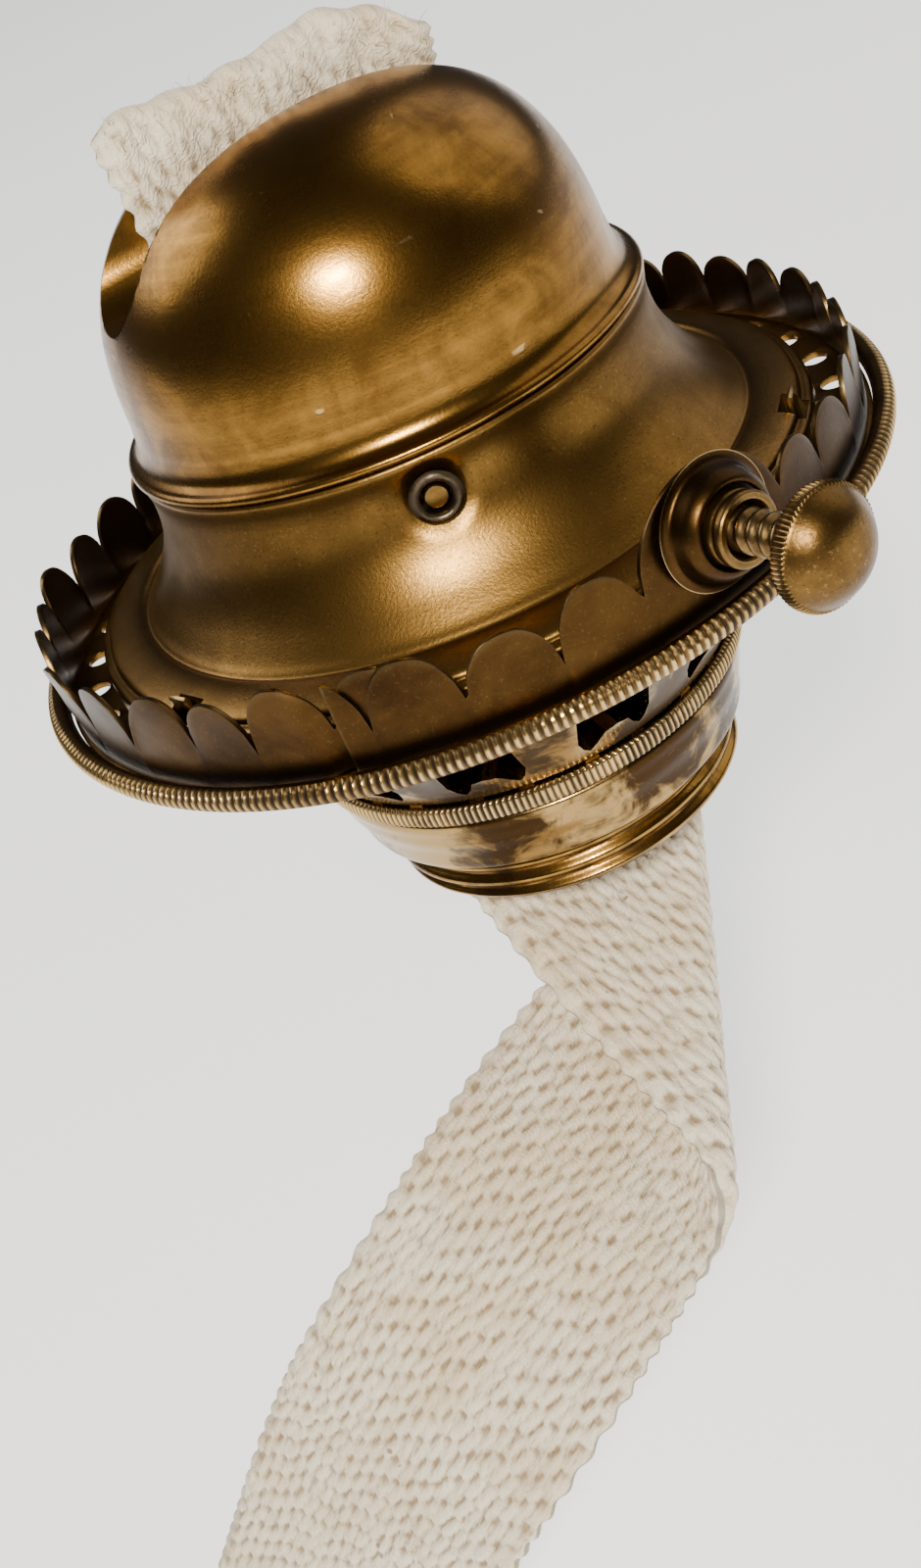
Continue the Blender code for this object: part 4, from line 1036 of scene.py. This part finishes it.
def makeRaiser():
    end = shaft["knobStart"] + 3.8
    r = shaft["radius"] - 0.02
    line = straight([(0.0, shaft["start"]), (r - 0.15, shaft["start"]), (r, shaft["start"] + 0.15), (r, end - 0.1), (0.0, end)])
    rod = turnedPiece("raiserShaft", line, 40)
    settle(rod, alongShaft())
    finishPiece(rod, "spindle", ["raiser_shaft"], finishes["greySteel"])
    for name, node in (("outerBearing", "outer_bearing"), ("innerBearing", "inner_bearing")):
        low, high = (v[0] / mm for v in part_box(node))
        line = straight([(1.1, low), (1.5, low), (1.6, low + 0.1), (1.6, high - 0.1), (1.5, high), (1.1, high)])
        sleeve = turnedPiece(name, line, 40, closed=True)
        settle(sleeve, alongShaft())
        finishPiece(sleeve, "burner_body", [node], finishes["agedBrass"])
    s = shaft["knobStart"]
    line = rounded([(0.0, s + 5.0), (1.2, s + 4.98), (2.6, s + 4.85), (3.7, s + 4.6)], 3)
    line += rounded([(4.1, s + 4.45), (4.45, s + 4.1), (4.55, s + 3.6), (4.5, s + 3.0), (4.2, s + 2.65)], 3)
    line += rounded([(3.4, s + 2.4), (2.7, s + 2.0), (2.35, s + 1.2), (2.2, s + 0.1)], 3)
    line += straight([(1.3, s), (1.3, s + 4.1), (0.0, s + 4.1)])
    knob = turnedPiece("raiserKnob", line, shaft["knobRibs"] * 4)

    def mill(places):
        radius, angle = polar(places)
        wave = 0.5 - 0.5 * np.cos(angle * shaft["knobRibs"])
        return fromPolar(radius - 0.22 * mm * wave * step(radius, 4.1 * mm, 4.4 * mm), angle, places[:, 2])

    reshape(knob, mill)
    markWearAndShade(knob, 1.5)
    settle(knob, alongShaft())
    finishPiece(knob, "spindle", ["raiser_knob"], finishes["agedBrass"])


# ---- wick

wickLook = {
    "width": 25.4 * mm, "length": 178 * mm, "thick": 2.5 * mm, "top": 61.5 * mm,
    "yarn": 1.10 * mm, "stitch": 2.5 * mm, "lift": 0.52 * mm, "faceColumns": 112, "edgeColumns": 6,
    "bends": ((67.0 * mm, 76.9, 7.0 * mm, -0.905), (82.7 * mm, 142.0, 2.6 * mm, 3.06), (110.3 * mm, 97.7, 30.0 * mm, -1.077)),
    "frayed": 6.0 * mm, "hairs": 320,
}


def bent(along, across, out):
    # carry points of the flat strip through its bends, as the CAD strip is
    for place, lineAngle, radius, turn in reversed(wickLook["bends"]):
        lean = math.radians(lineAngle)
        line = np.array((math.cos(lean), math.sin(lean)))
        normal = np.array((line[1], -line[0]))
        if normal[0] < 0:
            normal = -normal
        x, y = along - place, across
        side = x * line[0] + y * line[1]
        beyond = x * normal[0] + y * normal[1]
        sign = 1 if turn > 0 else -1
        arc = radius * abs(turn)
        angle = np.clip(beyond, 0, arc) / radius
        past = np.maximum(beyond - arc, 0.0)
        reach = radius - out * sign
        newOut = sign * (radius - reach * np.cos(angle) + past * np.sin(angle))
        newBeyond = reach * np.sin(angle) + past * np.cos(angle)
        out = np.where(beyond > 0, newOut, out)
        beyond = np.where(beyond > 0, newBeyond, beyond)
        across = line[1] * side + normal[1] * beyond
        along = place + line[0] * side + normal[0] * beyond
    return np.stack((across, out, wickLook["top"] - along), axis=1)


def hashed(value):
    value = np.sin(value) * 43758.5453
    return value - np.floor(value)


def stitchRelief(along, across, face):
    # slanted stitches in lanes that don't line up: height from 0 to 1
    w = wickLook
    lane = (across + 0.13 * mm * np.sin(along / (2.7 * mm) + face)) / w["yarn"] + 0.5
    middle = np.floor(lane)
    height = np.zeros_like(lane)
    for shift in (-1, 0, 1):
        row = middle + shift
        inLane = (lane - row) * 2 - 1
        drift = 0.37 * row + 0.62 * hashed(row * 12.9898 + face) + 0.3 * np.sin(row * 1.7 + along / (13 * mm))
        run = along / (w["stitch"] * (0.94 + 0.12 * hashed(row * 3.7 + face))) + drift
        number = np.floor(run)
        inRun = (run - number) * 2 - 1
        own = hashed(row * 78.233 + number * 37.719 + face * 5)
        lean = inLane - (0.50 + 0.3 * (own - 0.5)) * inRun
        cross = np.sqrt(np.maximum(1 - (lean / 1.02) ** 2, 0))
        length = 0.58 + 0.42 * np.maximum(1 - np.abs(inRun) ** 2.2, 0) ** 0.6
        height = np.maximum(height, cross * length * (0.74 + 0.36 * own))
    return height


def makeWick():
    w = wickLook
    half, thick = w["width"] / 2, w["thick"] / 2
    inner = half - thick * 0.8
    # one ring round the strip: front face, right selvedge, back face, left selvedge
    ring = [(x, 1.0, 0.0) for x in np.linspace(-1, 1, w["faceColumns"] + 1)]
    ring += [(1.0, math.cos(math.pi * k / w["edgeColumns"]), math.sin(math.pi * k / w["edgeColumns"])) for k in range(1, w["edgeColumns"])]
    ring += [(x, -1.0, 0.0) for x in np.linspace(1, -1, w["faceColumns"] + 1)]
    ring += [(-1.0, -math.cos(math.pi * k / w["edgeColumns"]), math.sin(math.pi * k / w["edgeColumns"])) for k in range(1, w["edgeColumns"] + 1)]
    ring = np.array(ring)
    rows = [(0.0, s) for s in (0.0, 0.45, 0.75, 0.93)] + [(y, 1.0) for y in np.linspace(0, 12.5, 34)]
    rows += [(y, 1.0) for y in np.linspace(14, 57, 14)] + [(y, 1.0) for y in np.linspace(58.5, 178, 280)]
    rows += [(178.0, s) for s in (0.93, 0.75, 0.45, 0.0)]
    rows = np.array(rows)
    bare()
    bpy.ops.mesh.primitive_grid_add(x_subdivisions=len(ring) - 1, y_subdivisions=len(rows) - 1, size=2, location=(0, 0, 0))
    piece = bpy.context.object
    piece.name = "wickStrip"
    mesh = piece.data
    places = np.empty(len(mesh.vertices) * 3)
    mesh.vertices.foreach_get("co", places)
    places = places.reshape(-1, 3)
    column = np.rint((places[:, 0] + 1) / 2 * (len(ring) - 1)).astype(int)
    row = np.rint((1 - places[:, 1]) / 2 * (len(rows) - 1)).astype(int)
    share, side, edge = ring[column, 0], ring[column, 1], ring[column, 2]
    along, swell = rows[row, 0] * mm, rows[row, 1]
    atTop = row < 4
    atEnd = row > len(rows) - 5
    along = along - np.where(atTop, thick * 0.8 * np.sqrt(1 - swell ** 2), 0) + np.where(atEnd, thick * 0.8 * np.sqrt(1 - swell ** 2), 0)
    across = share * inner
    face = np.sign(side) + (side == 0)
    relief = stitchRelief(along, across, face)
    lump = 0.5 + 0.5 * np.sin(tau * along / (2.3 * mm) + 2.0 * np.sign(share) + 2.6 * np.sin(along / (3.7 * mm)) + 1.9 * np.sin(along / (8.3 * mm)))
    near = np.clip(1 - along / w["frayed"], 0, 1)
    loose = np.array([noise.noise(Vector((x / (2.1 * mm), f * 3.0, y / (3.5 * mm)))) for x, f, y in zip(across, face, along)])
    fine = np.array([noise.noise(Vector((x / (0.75 * mm), f * 5.0, y / (1.5 * mm)))) for x, f, y in zip(across, face, along)])
    body = thick * 0.86 * (1 + 0.42 * near) + w["lift"] * (relief - 0.45) * (1 - np.abs(edge)) * (1 - 0.35 * near)
    body = body + near * (loose * 0.75 * mm + fine * 0.35 * mm) + loose * 0.12 * mm
    out = body * side * swell
    across = across + np.sign(share) * edge * (thick * 0.8 + (lump - 0.5) * 0.42 * mm + near * 0.5 * mm) * np.where(atTop | atEnd, swell, 1)
    # the selvedge wanders a little, and the cut top is uneven
    across = across + 0.28 * mm * np.sin(along / (7.3 * mm)) * np.abs(share) * step(along, 60 * mm, 66 * mm)
    topLine = -0.5 * mm - 0.07 * (across + half) - 1.9 * mm * step(across, 8.5 * mm, 13 * mm) - 0.5 * mm * step(-across, 11 * mm, 13 * mm)
    topLine = topLine + 1.3 * mm * np.exp(-((across - 4.9 * mm) / (2.8 * mm)) ** 2) + 0.3 * mm * np.sin(across / (0.9 * mm)) * np.sin(across / (2.3 * mm))
    along = along - topLine * np.clip(1 - along / (10 * mm), 0, 1)
    inTube = step(along, 9 * mm, 13 * mm) * (1 - step(along, 57 * mm, 61 * mm))
    squeeze = 1 - inTube * 0.10
    mesh.vertices.foreach_set("co", bent(along, across * squeeze, out * squeeze).ravel())
    # painted shade in the low parts between the stitches and in the dips of the selvedges
    hollowShade = np.clip(1.02 - relief * 1.22, 0, 1) * (1 - np.abs(edge)) * (1 - 0.6 * near) + np.abs(edge) * (1 - lump) * 0.4
    for name, values in (("hollowShade", hollowShade), ("worn", hollowShade * 0)):
        layer = mesh.attributes.new(name, "FLOAT", "POINT")
        layer.data.foreach_set("value", values.astype(np.float32))
    corners = np.empty(len(mesh.loops), dtype=np.int64)
    mesh.loops.foreach_get("vertex_index", corners)
    spread = np.stack((across + np.where(face > 0, 0.0, 0.031), along), axis=1)[corners]
    mesh.uv_layers.active.data.foreach_set("uv", spread.astype(np.float32).ravel())
    mesh.update()
    only(piece)
    bpy.ops.object.mode_set(mode="EDIT")
    bpy.ops.mesh.select_all(action="SELECT")
    bpy.ops.mesh.remove_doubles(threshold=0.004 * mm)
    bpy.ops.mesh.normals_make_consistent(inside=False)
    bpy.ops.object.mode_set(mode="OBJECT")
    bpy.ops.object.shade_smooth()
    piece.data.materials.clear()
    piece.data.materials.append(finishes["cottonYarn"])
    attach(piece, "wick")
    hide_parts("wick")
    hairs = makeHairs()


def makeHairs():
    # loose fibre ends standing out of the cut top
    w = wickLook
    chance = random.Random(12)
    shape = bmesh.new()
    for k in range(w["hairs"]):
        across = chance.uniform(-12.2, 12.2) * mm
        out = chance.uniform(-1.6, 1.6) * mm
        drop = 0.5 * mm + 0.07 * (across + 12.7 * mm) + 1.9 * mm * step(np.array([across]), 8.5 * mm, 13 * mm)[0]
        start = Vector((across, out, w["top"] - drop + chance.uniform(-1.6, 0.3) * mm))
        way = Vector((chance.uniform(-0.6, 0.6), out / (1.6 * mm) * 0.8 + chance.uniform(-0.5, 0.5), chance.uniform(0.2, 1.0))).normalized()
        length = chance.uniform(0.7, 1.9) * mm
        thin = chance.uniform(0.018, 0.045) * mm
        bend = Vector((chance.uniform(-1, 1), chance.uniform(-1, 1), chance.uniform(-0.6, 0.4))) * 0.9
        rings = []
        here = start.copy()
        for n in range(6):
            share = n / 5
            heading = (way + bend * share).normalized()
            here = here + heading * (length / 5) if n else here
            first = heading.orthogonal().normalized()
            second = heading.cross(first)
            size = thin * (1 - 0.6 * share)
            rings.append([shape.verts.new(here + (first * math.cos(tau * c / 3) + second * math.sin(tau * c / 3)) * size) for c in range(3)])
        for lower, upper in zip(rings, rings[1:]):
            for c in range(3):
                shape.faces.new((lower[c], lower[(c + 1) % 3], upper[(c + 1) % 3], upper[c]))
        shape.faces.new(rings[0][::-1])
        shape.faces.new(rings[-1])
    mesh = bpy.data.meshes.new("wickFibres")
    shape.to_mesh(mesh)
    shape.free()
    piece = bpy.data.objects.new("wickFibres", mesh)
    bpy.context.collection.objects.link(piece)
    mesh.uv_layers.new(name="UVMap")
    mesh.shade_smooth()
    mesh.materials.append(finishes["cottonYarn"])
    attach(piece, "wick")
    return piece


makeCollar()
makeCup()
makeCupBead()
makeBasket()
print("collar, cup and basket made")
makeDeck()
makeRim()
makeCoronet()
makeBoss()
makeBushing()
makeThumbscrew()
print("gallery and thumbscrew made")
makeSkirt()
makeDome()
makeRivets()
makeCatches()
makeRaiser()
print("cone and raiser made")
makeWick()
print("wick made")

kept = {
    "wick_tube": "sootedBrass", "tube_base_plate": "agedBrass", "draught_plate": "agedBrass", "vent_tube": "agedBrass",
    "feed_wheel_left": "agedBrass", "feed_wheel_right": "agedBrass", "front_spring": "greySteel", "rear_spring": "greySteel",
}
for node, look in kept.items():
    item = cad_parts[node]
    item.data.materials.clear()
    item.data.materials.append(finishes[look])
